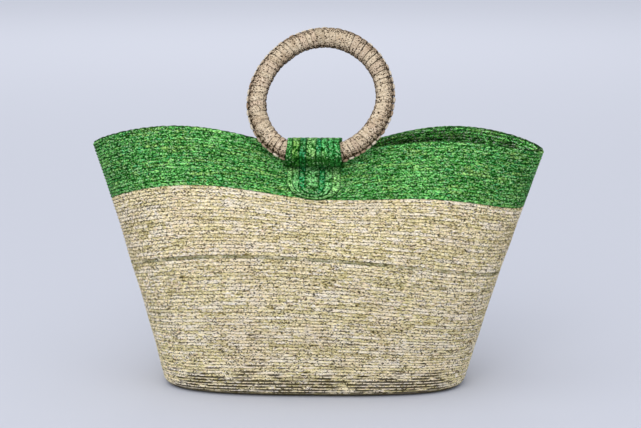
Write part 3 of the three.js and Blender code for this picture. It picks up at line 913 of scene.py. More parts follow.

# %% [markdown]
# On the band, the plait coordinates tell its three sides apart: the outside counts from
# 70, the inside from 170 and the brim from 300. The inside is painted lighter, as painted
# light where the light reaches over the rim, with painted shade in patches further down,
# and its topmost row is held back from that painted light. The brim is painted darker,
# as painted shade on its top. Three materials would do the same, but then each piece
# would have to be cut along the brim.

# %% Dyed palm material


def dyed_material():
    """Bottle green to leaf green by strand, the odder shades by stretch, and a tone of
    1.04 that rises by 1.4 inside as painted light, held back in the top row inside, and
    falls at the ends; it falls as painted shade at the brim and in patches under the brim."""
    material, tree, shader = new_material("dyed_palm", 0.5)
    place, plait = own_place(tree), own_uv(tree)
    mask = use_group(tree, plait_group, Plait=plait, Pits=0.45, Slots=0.22)
    grain = use_group(tree, leaf_grain, Place=place, Count=1060.0, Specks=0.2, Glints=0.14)
    base = blend(mask["Strand"].ease(0.0, 1.0, 0.25, 0.95), bottle_green, leaf_green)
    base = blend(mask["Second"].ease(0.82, 0.9, 0.0, 0.6), base, dyed_olive)
    base = blend(mask["Stretch"].ease(0.72, 0.8, 0.0, 0.55), base, dyed_olive)
    base = blend(mask["Second"].ease(0.10, 0.18, 0.5, 0.0), base, dyed_blue)
    base = blend(cloud(place, 21.0, 3.0).ease(0.42, 0.66, 0.0, 0.5), base, leaf_green)
    base = blend(mask["Run"].ease(0.5, 0.7, 0.0, 0.4), base, bottle_green)
    y = parts(plait)[1]
    # Painted light and shade: a higher tone inside as painted light, held back in its top row; a
    # lower tone at the brim and in patches of the inside under the brim as painted shade.
    inner, brim = y.ease(99.0, 99.9) * y.ease(200.0, 200.9, 1.0, 0.0), y.ease(299.0, 299.9)
    ends = (parts(place)[0] - 0.004).math("ABSOLUTE").ease(0.13, 0.21, 0.0, 0.34)
    under = inner * y.ease(185.3, 187.0, 1.0, 0.0) * cloud(place, 55.0).ease(0.4, 0.55)
    top_row = inner * y.ease(186.9, 187.1)
    tone = 1.04 + inner * 1.4 - brim * 0.6 - ends - under * 1.5 - top_row * 1.1
    # Glints, painted highlights, are whiter on the inside.
    bright = blend(inner, green_glint_pale, inside_glint_pale)
    dyed_finish(tree, shader, shade(base, tone), mask, grain, bright)
    return material


dyed = dyed_material()
print(dyed.name, "has", len(dyed.node_tree.nodes), "nodes")

# %% [markdown]
# The tabs are plaited from the same leaf, but every braid of a tab came out of its own
# dye bath: on the loop, from the left, a dull one, an olive, a bluish, a light yellowish,
# a dark bluish one, leaf green, a fresh green and leaf green again. On the patch, from
# the middle out, spring green, dark bluish, spring green and light. A name for each bath
# is easier to change than eight painted stripes.

# %% Tab material
bath = {
    "olive": (0.17, 0.28, 0.08), "blue": (0.035, 0.22, 0.12), "leaf": (0.09, 0.30, 0.12),
    "light": (0.22, 0.36, 0.16), "bottle": (0.045, 0.25, 0.12), "fresh": (0.08, 0.28, 0.115),
    "spring": (0.16, 0.33, 0.15), "dull": (0.09, 0.24, 0.08),
}
loop_baths = ("dull", "olive", "blue", "light", "bottle", "leaf", "fresh", "leaf")
patch_baths = ("spring", "bottle", "spring", "light")
patch_mark, loop_turn = 20, 18.0      # first braid of a patch, pairs round a loop


def tab_material():
    """Braids are told apart by the whole part of y: 400 or 500 and up on the loops, 420
    or 520 and up on the patches, so the remainder by 100 gives the braid. The loop is
    painted darker and bottle green on its underside, as painted shade, by the sine of the
    way round, and the seams beside each braid are painted shade too."""
    material, tree, shader = new_material("dyed_tab_palm", 0.5)
    place, plait = own_place(tree), own_uv(tree)
    u, y, _ = parts(plait)
    braid = y.math("FLOOR").math("MODULO", 100.0)
    patch = braid.ease(19.0, 19.9)
    mask = use_group(tree, plait_group, Plait=plait, Pits=0.5, Slots=0.0)
    grain = use_group(tree, leaf_grain, Place=place, Count=1100.0,
                      Specks=0.12 + patch * 0.04, Glints=0.05 + patch * 0.08)
    base = blend(patch, bath["leaf"], bath["fresh"])
    for first, baths in ((0, loop_baths), (patch_mark, patch_baths)):
        for number, name in enumerate(baths):
            base = blend(on_row(braid, first + number), base, bath[name])
    base = blend(mask["Strand"].ease(0.45, 0.95, 0.0, 0.4), base, bottle_green)
    base = blend(cloud(place, 60.0, 2.0).ease(0.5, 0.7, 0.0, 0.35), base, dyed_olive)
    # Painted shade on the loop's underside: bottle green and a lower tone.
    way_up = (u * (2 * np.pi / loop_turn)).math("SINE")
    under = way_up.ease(-0.45, 0.2, 1.0, 0.0) * (1.0 - patch)
    turned = patch * u.ease(5.0, 9.0)
    # Painted shade in the seams beside each braid, wider where the patch's braids turn.
    side = y.edge().ease(0.0, 0.09 + turned * 0.16, 0.95, 0.0)
    base = blend(under * 0.75, base, bottle_green)
    base = shade(base, 1.05 + patch * 0.3 - turned * 0.3 - under * 0.5)
    dyed_finish(tree, shader, blend(side, base, dyed_hole_shade), mask, grain)
    return material


dyed_tab = tab_material()
print(dyed_tab.name, "has", len(dyed_tab.node_tree.nodes), "nodes for", len(bath), "baths")

# %% [markdown]
# The walls go on now, in pieces of fourteen rows, so that no mesh gets too heavy. One
# mesh would look the same, but it would pass two hundred thousand triangles.

# %% Walls
wall_parts = ("foot", "lower", "middle", "shoulder", "upper")
part_rows = natural_rows // len(wall_parts)
for number, part in enumerate(wall_parts):
    first = number * part_rows
    wall_piece("wall_" + part, first, first + part_rows, undyed, "natural_wall")
all_rows, half_way = natural_rows + green_rows, natural_rows + green_rows // 2
wall_piece("green_lower", natural_rows, half_way, dyed, "green_band")
wall_piece("green_rim", half_way, all_rows, dyed, "green_band", rim=True)

# %% [markdown]
# The floor. The spiral starts as a straight fold of plait down the middle and every turn
# adds the same width, so the rings stay evenly spaced while the oval grows squarer. A
# true spiral could be drawn, but its one step a turn can't be seen, so closed rings do.

# %% Floor
floor_rings, floor_columns = 12, 360
floor_lines = np.array([0, 0.15, 0.38, 0.62, 0.85, 1.0])
floor_lift = 0.1      # mm that the underside's relief is raised
top_mark = 20      # rows of the top side count from here


def floor_piece():
    """Rings at equal steps q from the middle line: half width q, half length q plus what
    the wall's first row leaves, exponent growing from 2. Top side in, underside out."""
    reach_x = float(section_point(end, 0.0, 0.0)[0]) - 0.1
    reach_y = float(section_point(side, 0.0, 0.0)[0]) - 0.1
    v, share = floor_lines, np.arange(floor_columns) / floor_columns
    ring = np.arange(floor_rings)[:, None]
    q = (ring + v[None]) * reach_y / floor_rings
    n = mix(2.1, base_squareness, (q / reach_y) ** 2)[..., None]
    c, s = np.cos(2 * np.pi * share), np.sin(2 * np.pi * share)
    size = (np.abs(c) ** n + np.abs(s) ** n) ** (-1 / n)
    x = (reach_x - reach_y + q)[..., None] * c * size
    y = q[..., None] * s * size
    count = np.round((2 * np.pi * q.mean(1) + 4 * (reach_x - reach_y)) / strand_length)
    height = plait_height(count[:, None, None] * share, v[None, :, None], ring[..., None])
    height = height * np.sin(np.pi * v)[None, :, None] ** 0.3
    under = np.stack([x, y, np.minimum(-height * 0.5, 0.15) + floor_lift], -1)
    upper = np.stack([x, y, braid_thickness + height], -1)
    points = np.concatenate([under.reshape(-1, floor_columns, 3),
                             upper.reshape(-1, floor_columns, 3)[::-1]])
    low = (ring + np.append(within(v[:-1], row_gap), 0.996)).ravel()
    high = (ring + np.append(within(v[1:], row_gap), 0.998)).ravel()
    turns = np.repeat(count, len(v))
    turns = np.concatenate([turns, turns[:-1][::-1]])
    lows = np.concatenate([low, high[:-1][::-1] + top_mark])
    highs = np.concatenate([high, low[:-1][::-1] + top_mark])
    quads = grid_quads(len(points), floor_columns, False, True)
    uv = face_uv(turns, lows, highs, floor_columns)
    add_piece("floor_oval", points.reshape(-1, 3), quads.reshape(-1, 4),
              uv.reshape(-1, 4, 2), undyed, "bag", ["base_oval"])


floor_piece()

# %% [markdown]
# The tabs. Each is one piece of plaiting with its braids side by side: they run over the
# hoop as a loop, then down the wall as a half-round patch, where every braid turns round
# the end of the middle one and comes back up the other side. The loop is closed round
# the hoop, so that the hoop can turn in it; the patch is sewn flat to the band. First
# come the places, which the plain solids share: a strap drawn by eye would soon cut into
# its hoop or leave the wall.

# %% Places of the tabs
tab_half_width, loop_outer, loop_bore = 26.0, 14.209, 12.959
patch_thickness, patch_straight, patch_top, seat = 2.2, 27.0, 1.5, 0.3
front_axis = {"level": 0.944626, "y": -45.035, "z": 238.763}
back_axis = {"level": 0.908796, "y": 51.159, "z": 226.550}
front_mark, back_mark = 400, 500      # rows of the tabs count from here
braid_gap = 0.01      # of a braid, kept free of coordinates at its edges
# Edges of the braids across the tab, in mm from its middle.
braid_edges = np.array([-26.0, -20.5, -13.2, -6.8, 2.6, 7.6, 14.2, 20.3, 26.0])


def wall_at(x, level, facing):
    """The outside of a long wall straight above x; facing is -1 in front, 1 behind. c is
    x over the half length at that level, and s is the n-th root of 1 - |c|^n."""
    n = mix(base_squareness, mouth_squareness, level)
    half = section_point(end, level, 0.0)[0] - end_bow * np.sin(np.pi * level) * lift(level)
    c = (x - mouth_shift * level) / half
    return shell_at(c, facing * (1 - np.abs(c) ** n) ** (1 / n), level, 0.0)


def wall_normal(x, level, facing):
    """Out of the wall: the cross product of the way along it and the way up."""
    top = np.minimum(1, level + 0.01)
    up = wall_at(x, top, facing) - wall_at(x, top - 0.02, facing)
    along = wall_at(x + 2, level, facing) - wall_at(x - 2, level, facing)
    out = np.cross(along, up) * -facing
    return out / np.linalg.norm(out, axis=-1, keepdims=True)


def braid_height(u, v, row):
    """A tab braid in mm: rounded across by the power 0.4 of a parabola, with deep seams
    beside it, and bold slanting strands, the root of a sine."""
    rounded = (4 * v * (1 - v) + 1e-6) ** 0.4
    swell = np.abs(np.sin(np.pi * strand_phase(u, v, row))) ** 0.7 - 0.6
    return rounded - 0.75 + 0.3 * swell * np.sin(np.pi * np.clip(v, 0.05, 0.95)) ** 0.5


print("braids across a tab:", len(braid_edges) - 1)

# %% [markdown]
# The loop over the hoop. On the real bag it is the strap's end folded over and sewn; a
# strip could be bent with a curve modifier, but a sleeve round the hinge line is sure to
# stay clear of the hoop all the way round. The front one flares a little towards the
# wall; the back one is straight, because its hoop hangs down past it.

# %% Loops over the hoops
loop_columns = 150
braid_lines = np.array([0.0, 0.1, 0.24, 0.42, 0.6, 0.78, 0.9])


def loop_piece(name, axis, seed, flare_down):
    """A sleeve about the hinge line. Lines of points cross it from end to end on the
    outside and come back through the bore. Its width follows 1 - flare_down sin(turn),
    so the front loop flares downward; a hoop that hangs needs a straight one."""
    number = np.arange(len(braid_edges) - 1)[:, None]
    width = np.diff(braid_edges)[:, None]
    a = (braid_edges[:-1, None] + width * braid_lines[None]).ravel()
    v = np.broadcast_to(braid_lines, (len(number), len(braid_lines))).ravel()
    row = np.broadcast_to(number + seed, (len(number), len(braid_lines))).ravel()
    a, v, row = np.append(a, tab_half_width), np.append(v, 1.0), np.append(row, row[-1])
    share = np.arange(loop_columns) / loop_columns
    turn = 2 * np.pi * share
    height = braid_height(loop_turn * share[None], v[:, None], row[:, None])
    radius = loop_outer - 0.25 + height
    flare = 0.988 + flare_down * (0.6 - np.sin(turn)) + 0.012 * np.sin(3 * turn + seed)
    x = tab_centre + a[:, None] * flare[None]
    outer = np.stack([x, axis["y"] + radius * np.cos(turn), axis["z"] + radius * np.sin(turn)], -1)
    b = np.array([tab_half_width, 25.2, 0.0, -25.2, -tab_half_width])[:, None]
    bore = (loop_bore + np.array([0.5, 0.0, 0.0, 0.0, 0.5]))[:, None]
    inner = np.stack(np.broadcast_arrays(
        tab_centre + b * flare[None],
        axis["y"] + bore * np.cos(turn), axis["z"] + bore * np.sin(turn)), -1)
    points = np.concatenate([outer, inner])
    upper = np.where(v[1:] > v[:-1], v[1:], 1.0)
    low = np.append(row[:-1] + within(v[:-1], braid_gap), np.full(6, brim_mark + 0.1))
    high = np.append(row[:-1] + within(upper, braid_gap), np.full(6, brim_mark + 0.9))
    quads = grid_quads(len(points), loop_columns, True, True)
    uv = face_uv(np.full(len(points), loop_turn), low, high, loop_columns)
    add_piece(name, points.reshape(-1, 3), quads.reshape(-1, 4), uv.reshape(-1, 4, 2),
              dyed_tab, "bag", [name.replace("_loop", "")])


loop_piece("front_tab_loop", front_axis, front_mark, 0.045)
loop_piece("back_tab_loop", back_axis, back_mark, 0.0)

# %% [markdown]
# The patch on the wall. Its braids are nested turns, like the lanes of a running track,
# and each is a little wider on the left. It could be cut from a flat piece and laid on
# with a shrinkwrap modifier; here every line of points is put on the wall by the shell's
# own formula, so it follows the wall's curve exactly.

# %% Lanes of a patch
# For each braid edge, from the middle out: how far to each side, and how far its turn
# reaches below the straight part.
turn_left = np.array([0.0, 6.8, 13.2, 20.5, 26.0])
turn_right = np.array([0.0, 6.8, 12.0, 18.6, 26.0])
turn_down = np.array([0.0, 9.7, 16.6, 20.2, 23.0])
lanes, middle_x = 4, -2.1
turn_squareness, straight_share, patch_steps = 2.3, 0.4, 66
patch_strand = 5.2      # mm of a pair of strands on the patch


def patch_place(band):
    """x and the drop below the hinge line for each side of each line of points: down by
    the straight part, then a quarter of a superellipse |a|^2.3 + |b|^2.3 = 1."""
    steps = np.linspace(0, 1, patch_steps)
    straight = np.clip(steps / straight_share, 0, 1)
    angle = np.clip((steps - straight_share) / (1 - straight_share), 0, 1) * np.pi / 2
    c, s = np.cos(angle), np.sin(angle)
    size = (c**turn_squareness + s**turn_squareness) ** (-1 / turn_squareness)
    at = np.arange(lanes + 1)
    reach = np.stack([-np.interp(band, at, turn_left), np.interp(band, at, turn_right)])
    x = middle_x * (1 - band / lanes)[None, :, None] + reach[..., None] * (c * size)
    turned = np.interp(band, at, turn_down)[:, None] * (s * size)
    drop = (patch_straight + patch_top) * straight - patch_top + turned
    return tab_centre + np.clip(x, -tab_half_width, tab_half_width), np.broadcast_to(drop, x.shape)


print("a patch reaches", patch_straight + turn_down[-1], "mm below the hinge line")

# %% [markdown]
# The lines of one side run down and meet those of the other side at the middle line. The
# back of the patch lies close to the band, the front is as thick as a braid and rounded
# at its outer edge. A flat face closes the top, where the loop hides it.

# %% Patches on the wall
lane_lines = np.array([0.0, 0.08, 0.22, 0.4, 0.6, 0.78, 0.92])
patch_lift, patch_back = 0.25, 0.12      # mm that its front and its back stand off


def patch_piece(name, axis, facing, seed):
    """Points: the left side's lines outside to middle, the right side's middle to
    outside, then both again on the back. The front stands off the wall by seat, lift, and
    thickness with the braid's height times the root of the distance from its edge."""
    band = np.append((np.arange(lanes)[:, None] + lane_lines).ravel(), float(lanes))
    x, drop = patch_place(band)
    level = axis["level"] - drop / slant
    spot, out = wall_at(x, level, facing), wall_normal(x, level, facing)
    v = np.where(band < 1, band / 2 + 0.5, band % 1.0)
    v[-1] = 1.0
    v_side = np.stack([np.where(band < 1, 1 - v, v), v])
    row = np.floor(np.minimum(band, 3.999)) + seed
    step = np.linalg.norm(np.diff(spot, axis=2, prepend=spot[:, :, :1]), axis=3)
    u = np.cumsum(step, axis=2) / patch_strand
    height = braid_height(u, v_side[..., None], row[None, :, None])
    rim = np.clip((lanes - band) / 0.2, 0, 1)[None, :, None] ** 0.5
    proud = seat + (patch_thickness - 0.3 + height) * rim + patch_lift
    outer = spot + out * proud[..., None]
    outer[:, :, -1] = outer[:, :, -1].mean(0)
    inner = spot + out * patch_back
    points = np.concatenate([outer[0][::-1], outer[1][1:], inner[1][::-1], inner[0][1:]])
    rows = np.concatenate([row[::-1], row[1:], row[::-1], row[1:]])
    vs = np.concatenate([v_side[0][::-1], v_side[1][1:], v_side[1][::-1], v_side[0][1:]])
    us = np.concatenate([u[0][::-1], u[1][1:], u[1][::-1], u[0][1:]])
    m, n = points.shape[:2]
    quads = grid_quads(m, n, True, False)
    nxt = (np.arange(m) + 1) % m
    band_row = np.minimum(rows, rows[nxt])
    on_left = (np.arange(m) < len(band) - 1) | (np.arange(m) >= m - len(band))
    edge = np.where((band_row == seed) & on_left, braid_gap, 1 - braid_gap)
    v1 = np.where(rows == band_row, vs, edge)
    v2 = np.where(rows[nxt] == band_row, vs[nxt], edge)
    uv = np.empty((m, n - 1, 4, 2))
    uv[..., 0, 0], uv[..., 1, 0] = us[:, :-1], us[:, 1:]
    uv[..., 2, 0], uv[..., 3, 0] = us[nxt][:, 1:], us[nxt][:, :-1]
    uv[..., :2, 1] = (band_row + within(v1, braid_gap))[:, None, None]
    uv[..., 2:, 1] = (band_row + within(v2, braid_gap))[:, None, None]
    cap = np.arange(m // 2 - 1)
    other = m - 1 - cap
    top_cap = np.stack([cap * n, (cap + 1) * n, (other - 1) * n, other * n], -1)
    cap_uv = np.broadcast_to([[1.0, seed + 0.5]], (len(top_cap), 4, 2))
    add_piece(name, points.reshape(-1, 3), np.concatenate([quads.reshape(-1, 4), top_cap]),
              np.concatenate([uv.reshape(-1, 4, 2), cap_uv]),
              dyed_tab, "bag", [name.replace("_patch", "")])


patch_piece("front_tab_patch", front_axis, -1, front_mark + patch_mark)
patch_piece("back_tab_patch", back_axis, 1, back_mark + patch_mark)

# %% [markdown]
# The hoops. A vine is bent round by hand, so it is no perfect circle, and its ends are
# scarfed together. A torus would be too even: a few slow sine waves on the radius give
# the hand-bent line, and everything on a hoop is measured from that line.

# %% Places of the hoops
hoop_radius, hoop_skew, hoop_flat = 60.7, 0.034, 0.015
core_radius, hoop_offset, hoop_rise = 7.2, 6.3, 55.498
wrap_low, wrap_high, turns_of_strip = 8.45, 9.0, 64
front_lean, back_lean = np.radians(22.5), np.radians(139.6487)
tube_round = 12.0      # steps of the plait coordinate once round the tube


def hoop_line(f, out):
    """A point beside the middle line, in the hoop's plane. The radius is that of a circle
    less skew times sin 2f, less flat times (cos 2f + cos 3f); out is measured along the
    normal, which is the way along the line turned by a right angle."""
    r = hoop_radius * (1 - hoop_skew * np.sin(2 * f) - hoop_flat * (np.cos(2 * f) + np.cos(3 * f)))
    flat_slope = hoop_flat * (2 * np.sin(2 * f) + 3 * np.sin(3 * f))
    slope = hoop_radius * (-2 * hoop_skew * np.cos(2 * f) + flat_slope)
    ahead_x, ahead_z = slope * np.sin(f) + r * np.cos(f), -slope * np.cos(f) + r * np.sin(f)
    size = np.hypot(ahead_x, ahead_z)
    return r * np.sin(f) + out * ahead_z / size, -r * np.cos(f) - out * ahead_x / size


def hoop_spot(f, out, aside, axis, lean):
    """f goes round the hoop from its lowest point, out and aside are measured from the
    middle of the tube. The standing hoop is then tipped back about the hinge line."""
    x, z = hoop_line(f, out)
    z = z + hoop_rise
    c, s = np.cos(lean), np.sin(lean)
    y, z = axis["y"] + aside * c + z * s, axis["z"] - aside * s + z * c
    return np.stack(np.broadcast_arrays(tab_centre + hoop_offset + x, y, z), -1)


print("strip edges are", round(2 * np.pi * hoop_radius / turns_of_strip, 2), "mm apart")

# %% [markdown]
# A palm strip is wound about the vine, each turn lying half on the turn before, and its
# edge is caught down by the whip seam. Sixty-four rings would be simpler, but on a real
# hoop the strip's edge climbs: it is a helix. So the grid's last line round the tube is
# its first line one turn further on, and one grid closes on itself.

# %% Shape of the winding
chance = np.random.default_rng(11)
thick_place, thin_place = 2.75, 1.7      # radians round the hoop from its foot


def wander(way, knots, size):
    """A smooth closed wave through random heights at evenly spaced knots: the heights
    times the size, joined by half cosine waves."""
    heights = chance.uniform(-size, size, knots)
    at = way / (2 * np.pi) * knots
    here = np.floor(at).astype(int)
    blend_in = (1 - np.cos(np.pi * (at - here))) / 2
    return mix(heights[here % knots], heights[(here + 1) % knots], blend_in)


def bell(value, middle, width):
    """A bell of height 1."""
    return np.exp(-(((value - middle) / width) ** 2))


def winding_radius(way, w, g):
    """Radius at way round the hoop, w across the strip and g round the tube. It rises
    from low to high as w to the power 0.6 and drops at the strip's edge. Away from the
    tab, random waves raise and lower turns, and two bells make the vine thickest and
    thinnest at their places. The seam pulls the edges in on both sides of the outer
    line, and they pucker on the inner line."""
    free = 1 - bell(np.abs((way + np.pi) % (2 * np.pi) - np.pi), 0.0, 0.55)
    uneven = wander(way, turns_of_strip, 0.24) + wander(way, 23, 0.3) * np.cos(g - 0.6)
    vine_swell = 0.4 + 0.85 * bell(way, thick_place, 0.55) - 0.55 * bell(way, thin_place, 0.4)
    r = mix(wrap_low, wrap_high, w**0.6) + free * (uneven + vine_swell)
    pull = bell(np.minimum(w, 1 - w), 0.0, 0.13)
    r = r - pull * free * (bell(g, 0.36, 0.15) + bell(g, 2 * np.pi - 0.36, 0.15))
    r = r - pull * (0.55 * bell(g, np.pi, 0.3) + 0.1)
    return r + 0.07 * np.sin(6 * np.pi * w + 5 * way) * free


print("a turn rises from", wrap_low, "to", wrap_high, "mm off the middle line")

# %% [markdown]
# The sleeve itself. Inside it has a plain bore round the vine, so that it is a closed
# piece that could be cut open. Its plait coordinates count twelve steps round the tube
# and one for each turn of the strip.

# %% Winding
winding_columns, bore_steps, bore_sides = 48, 96, 12
strip_lines = np.array([0.0, 0.05, 0.15, 0.3, 0.5, 0.7, 0.85, 0.95])


def winding(name, axis, lean):
    """way = 2 pi (turn + w + g / 2 pi) / turns, for turns 0 to 63, w across the strip
    and g round the tube. A random wave makes some turns wider than others."""
    n, around, lines = turns_of_strip, winding_columns, turns_of_strip * len(strip_lines)
    w = strip_lines[None, :, None]
    g = 2 * np.pi * np.arange(around) / around
    way = 2 * np.pi * (np.arange(n)[:, None, None] + w + g / (2 * np.pi)) / n
    f = way + wander(way, n, 0.26) * 2 * np.pi / n
    r = winding_radius(way, w, g)
    points = hoop_spot(f, r * np.cos(g), r * np.sin(g), axis, lean)
    # One more line at g = 2 pi, which is the first line shifted by a turn.
    numbers = np.arange(lines * around).reshape(lines, around)
    shifted = np.roll(numbers[:, :1], -len(strip_lines), axis=0)
    grid = np.concatenate([numbers, shifted], 1)
    nxt = np.roll(grid, -1, axis=0)
    quads = np.stack([grid[:, :-1], grid[:, 1:], nxt[:, 1:], nxt[:, :-1]], -1)
    turn = np.arange(n)[:, None]
    low = (turn + within(strip_lines, braid_gap)).ravel()
    high = (turn + within(np.append(strip_lines[1:], 1.0), braid_gap)).ravel()
    uv = face_uv(np.full(lines, tube_round), low, high, around)
    f2 = 2 * np.pi * np.arange(bore_steps)[:, None] / bore_steps
    g2 = 2 * np.pi * np.arange(bore_sides)[None] / bore_sides
    bore_radius = core_radius + seat
    bore = hoop_spot(f2, bore_radius * np.cos(g2), bore_radius * np.sin(g2), axis, lean)
    back = grid_quads(bore_steps, bore_sides, True, True)[..., ::-1].reshape(-1, 4)
    blank = np.broadcast_to([0.5, 0.5], (len(back), 4, 2))
    add_piece(name + "_winding", np.concatenate([points.reshape(-1, 3), bore.reshape(-1, 3)]),
              np.concatenate([quads.reshape(-1, 4), back + lines * around]),
              np.concatenate([uv.reshape(-1, 4, 2), blank]),
              strip_palm, name, [name + "_wrap"])


print("a winding has", turns_of_strip * len(strip_lines) * winding_columns, "points outside")

# %% [markdown]
# The whip seam is one palm cord that loops over the strip's edge, once for each turn.
# Each loop shows as a small bean that leans across the line and tucks under the next. A
# bead could be copied along the hoop as many times; one tube that swells and thins is
# closed by itself and has no beads that float.

# %% Seam
seam_steps, seam_sides, seam_off = 10, 10, 0.5
seam_clear = 27.5      # mm from the middle of the tab to where the cord starts


def seam(name, axis, lean):
    """A tube along the outside of the winding, from one edge of the tab round to the
    other. Its thickness swells once per turn, as the root of a sine, and its line sways
    to and fro, so that the swells lean. Its ends close at their middle."""
    off = wrap_high + seam_off
    dense = np.linspace(0, 2 * np.pi, 6001)
    x = hoop_line(dense, off)[0] + hoop_offset
    clear = dense[(np.abs(x) > seam_clear) | (np.abs(dense - np.pi) < 1.5)]
    first, last = clear[0], clear[-1]
    count = int(round((last - first) / (2 * np.pi) * turns_of_strip))
    t = np.arange(count * seam_steps + 1) / seam_steps
    f = (first + (last - first) * t / count)[:, None]
    phase = (t % 1)[:, None]
    size = 1 + 0.22 * np.sin(2.7 * np.floor(t)[:, None] + 1) * np.sin(np.pi * phase) ** 2
    thick = (0.45 + 0.95 * np.sin(np.pi * phase) ** 0.55) * size
    g = 2 * np.pi * np.arange(seam_sides)[None] / seam_sides
    thick = thick * (1 + 0.10 * np.sin(2 * g + 4 * np.pi * t[:, None]))
    aside = 0.9 * (phase - 0.5) + 1.3 * thick * np.sin(g)
    points = hoop_spot(f, off + thick * np.cos(g) * 0.9, aside, axis, lean)
    caps = np.repeat(points[[0, -1]].mean(1, keepdims=True), seam_sides, axis=1)
    points = np.concatenate([caps[:1], points, caps[1:]])
    quads = grid_quads(len(points), seam_sides, False, True)
    t = np.concatenate([[0], t, t[-1:]]) * 0.999
    uv = face_uv(np.ones(len(t) - 1), t[:-1], t[1:], seam_sides)
    add_piece(name + "_whip_seam", points.reshape(-1, 3), quads.reshape(-1, 4),
              uv.reshape(-1, 4, 2), cord_palm, name, [name + "_seam"])


print("the seam's cord lies", seam_off, "mm over the strip's edge")

# %% [markdown]
# Strip and cord. The strip is the same leaf, wider: fine ribs run the long way, which is
# across the tube. Old turns are pinkish or grey. Black is painted along their edges and
# where the seam pulls them in, as painted shade in those gaps and folds, and their pale
# glints are painted highlights. A photograph of a strip could be wrapped round the tube,
# but then each turn would look like the next; dice give every turn its own tone.

# %% Strip colours
strip_cream, strip_pink = (0.76, 0.665, 0.52), (0.675, 0.56, 0.445)
strip_grey, strip_tan = (0.63, 0.57, 0.435), (0.40, 0.28, 0.18)
# The soil brown serves for dark specks and for painted shade at the tube's edges; the pale one is
# a painted highlight for glints.
strip_soil_and_shade, strip_glint_pale = (0.035, 0.018, 0.007), (0.9, 0.82, 0.66)
strip_loss = (0.0, 0.06, 0.14)


def strip_colours(tree, turn, place, ribs, other, grain):
    """A colour for each turn, tan clouds along the hoop, and a tone of 0.5 plus ribs,
    dice and grain."""
    pick = dice(tree, turn, 1.0, 0.0)
    base = blend(pick.ease(0.5, 0.7, 0.0, 0.8), strip_cream, strip_pink)
    base = blend(pick.ease(0.84, 0.9, 0.0, 0.7), base, strip_grey)
    base = blend(cloud(place, 60.0, 3.0).ease(0.5, 0.7, 0.0, 0.5), base, strip_tan)
    tone = 0.5 + ribs * 0.32 + other * 0.12 + grain["Grain"] * 0.3
    # Glints are painted highlights.
    return blend(grain["Glint"] * 0.5, shade(base, tone, strip_loss), strip_glint_pale)


def strip_dark(tree, g, turn, place, near, to_seam, other):
    """The black places, all painted shade: broken lines along the strip's edge, where one
    turn laps the next, fewer on the quiet stretch of the hoop; pits beside the seam,
    longer or shorter by dice; and the puckers on the inner line."""
    patchy = cloud(triple(tree, g * 0.7, turn * 5.3, 2.0), 1.0, 1.0)
    quiet = turn.ease(23.0, 31.0) * turn.ease(49.0, 57.0, 1.0, 0.0)
    where = cloud(place, 17.0, 1.0).ease(0.38, 0.6, 0.6, 0.36) + quiet * 0.15
    line = near.ease(0.02, 0.11, 1.0, 0.0) * ((patchy - where) * 12.0).held()
    pit = (to_seam - (0.7 + other * 0.7)).ease(-0.1, 0.35, 1.0, 0.0)
    pit = pit * near.ease(0.1, 0.25, 1.0, 0.0) * to_seam.ease(0.35, 0.5)
    inner = to_seam.ease(5.0, 5.6) * near.ease(0.07, 0.2, 0.9, 0.0)
    return line.most(pit).most(inner)


print("strip tones:", len({strip_cream, strip_pink, strip_grey, strip_tan}))

# %% [markdown]
# The tube is painted darker towards both its edges, as painted shade where it turns
# away: a tan and soil-brown band near the seam and a tan one near the inner line, and a
# darker edge to each turn where it laps the next. Dark specks lie over it, more of them
# towards those edges, where the flakes of grain fall under a threshold. It could be
# painted on with a brush; the distance from the seam does it evenly.

# %% Strip material


def strip_material():
    """g runs 0..12 round the tube, with the seam at 0 and 12 and the inner line at 6; the
    whole part of y is the turn and the rest is the place across the strip."""
    material, tree, shader = new_material("wound_strip", 0.5)
    g, y, _ = parts(own_uv(tree))
    place, turn, near = own_place(tree), y.math("FLOOR"), y.edge()
    to_seam, other = g.least(tube_round - g), dice(tree, turn, 2.0, 0.0)
    grain = use_group(tree, leaf_grain, Place=place, Count=1150.0, Specks=0.12, Glints=0.06)
    ribs = cloud(triple(tree, g * 0.5, y.math("FRACT") * 9.0, turn * 3.1), 1.0, 3.0)
    base = strip_colours(tree, turn, place, ribs, other, grain)
    # Painted shade: tan and soil brown towards the seam, tan towards the inner line, and a darker
    # edge to each turn.
    base = blend(to_seam.ease(0.6, 2.4, 0.75, 0.0), base, strip_tan)
    base = blend(to_seam.ease(0.2, 1.2, 0.6, 0.0), base, strip_soil_and_shade)
    base = blend(to_seam.ease(4.4, 5.8, 0.0, 0.8), base, strip_tan)
    base = blend(near.ease(0.0, 0.14, 0.35, 0.0), base, strip_soil_and_shade)
    # Dark specks, more of them towards both edges of the tube.
    edges = to_seam.ease(4.4, 5.6, 0.0, 0.42) + to_seam.ease(0.8, 2.6, 0.42, 0.0)
    edge_specks = (edges - grain["Grain"]).math("GREATER_THAN", 0.0)
    base = blend(grain["Speck"].most(edge_specks), base, strip_soil_and_shade)
    # Painted shade: the black lines, pits and puckers of strip_dark.
    dark = strip_dark(tree, g, turn, place, near, to_seam, other)
    plug(tree, blend(dark * 0.93, base, hole_shade_brown), shader.inputs["Base Color"])
    plug(tree, ribs.ease(0.2, 0.8, 0.4, 0.62), shader.inputs["Roughness"])
    relief(shader, ribs * 0.5 + grain["Grain"] * 0.4 - dark, leaf_depth)
    return material


strip_palm = strip_material()
print(strip_palm.name, "has", len(strip_palm.node_tree.nodes), "nodes")

# %% [markdown]
# The seam's cord is rolled leaf, so its ribs run along it. It could share the strip's
# finish, but its loops are small, and each needs its own tone and a dip of painted shade
# where it tucks under the next.

# %% Cord material, and the hoops


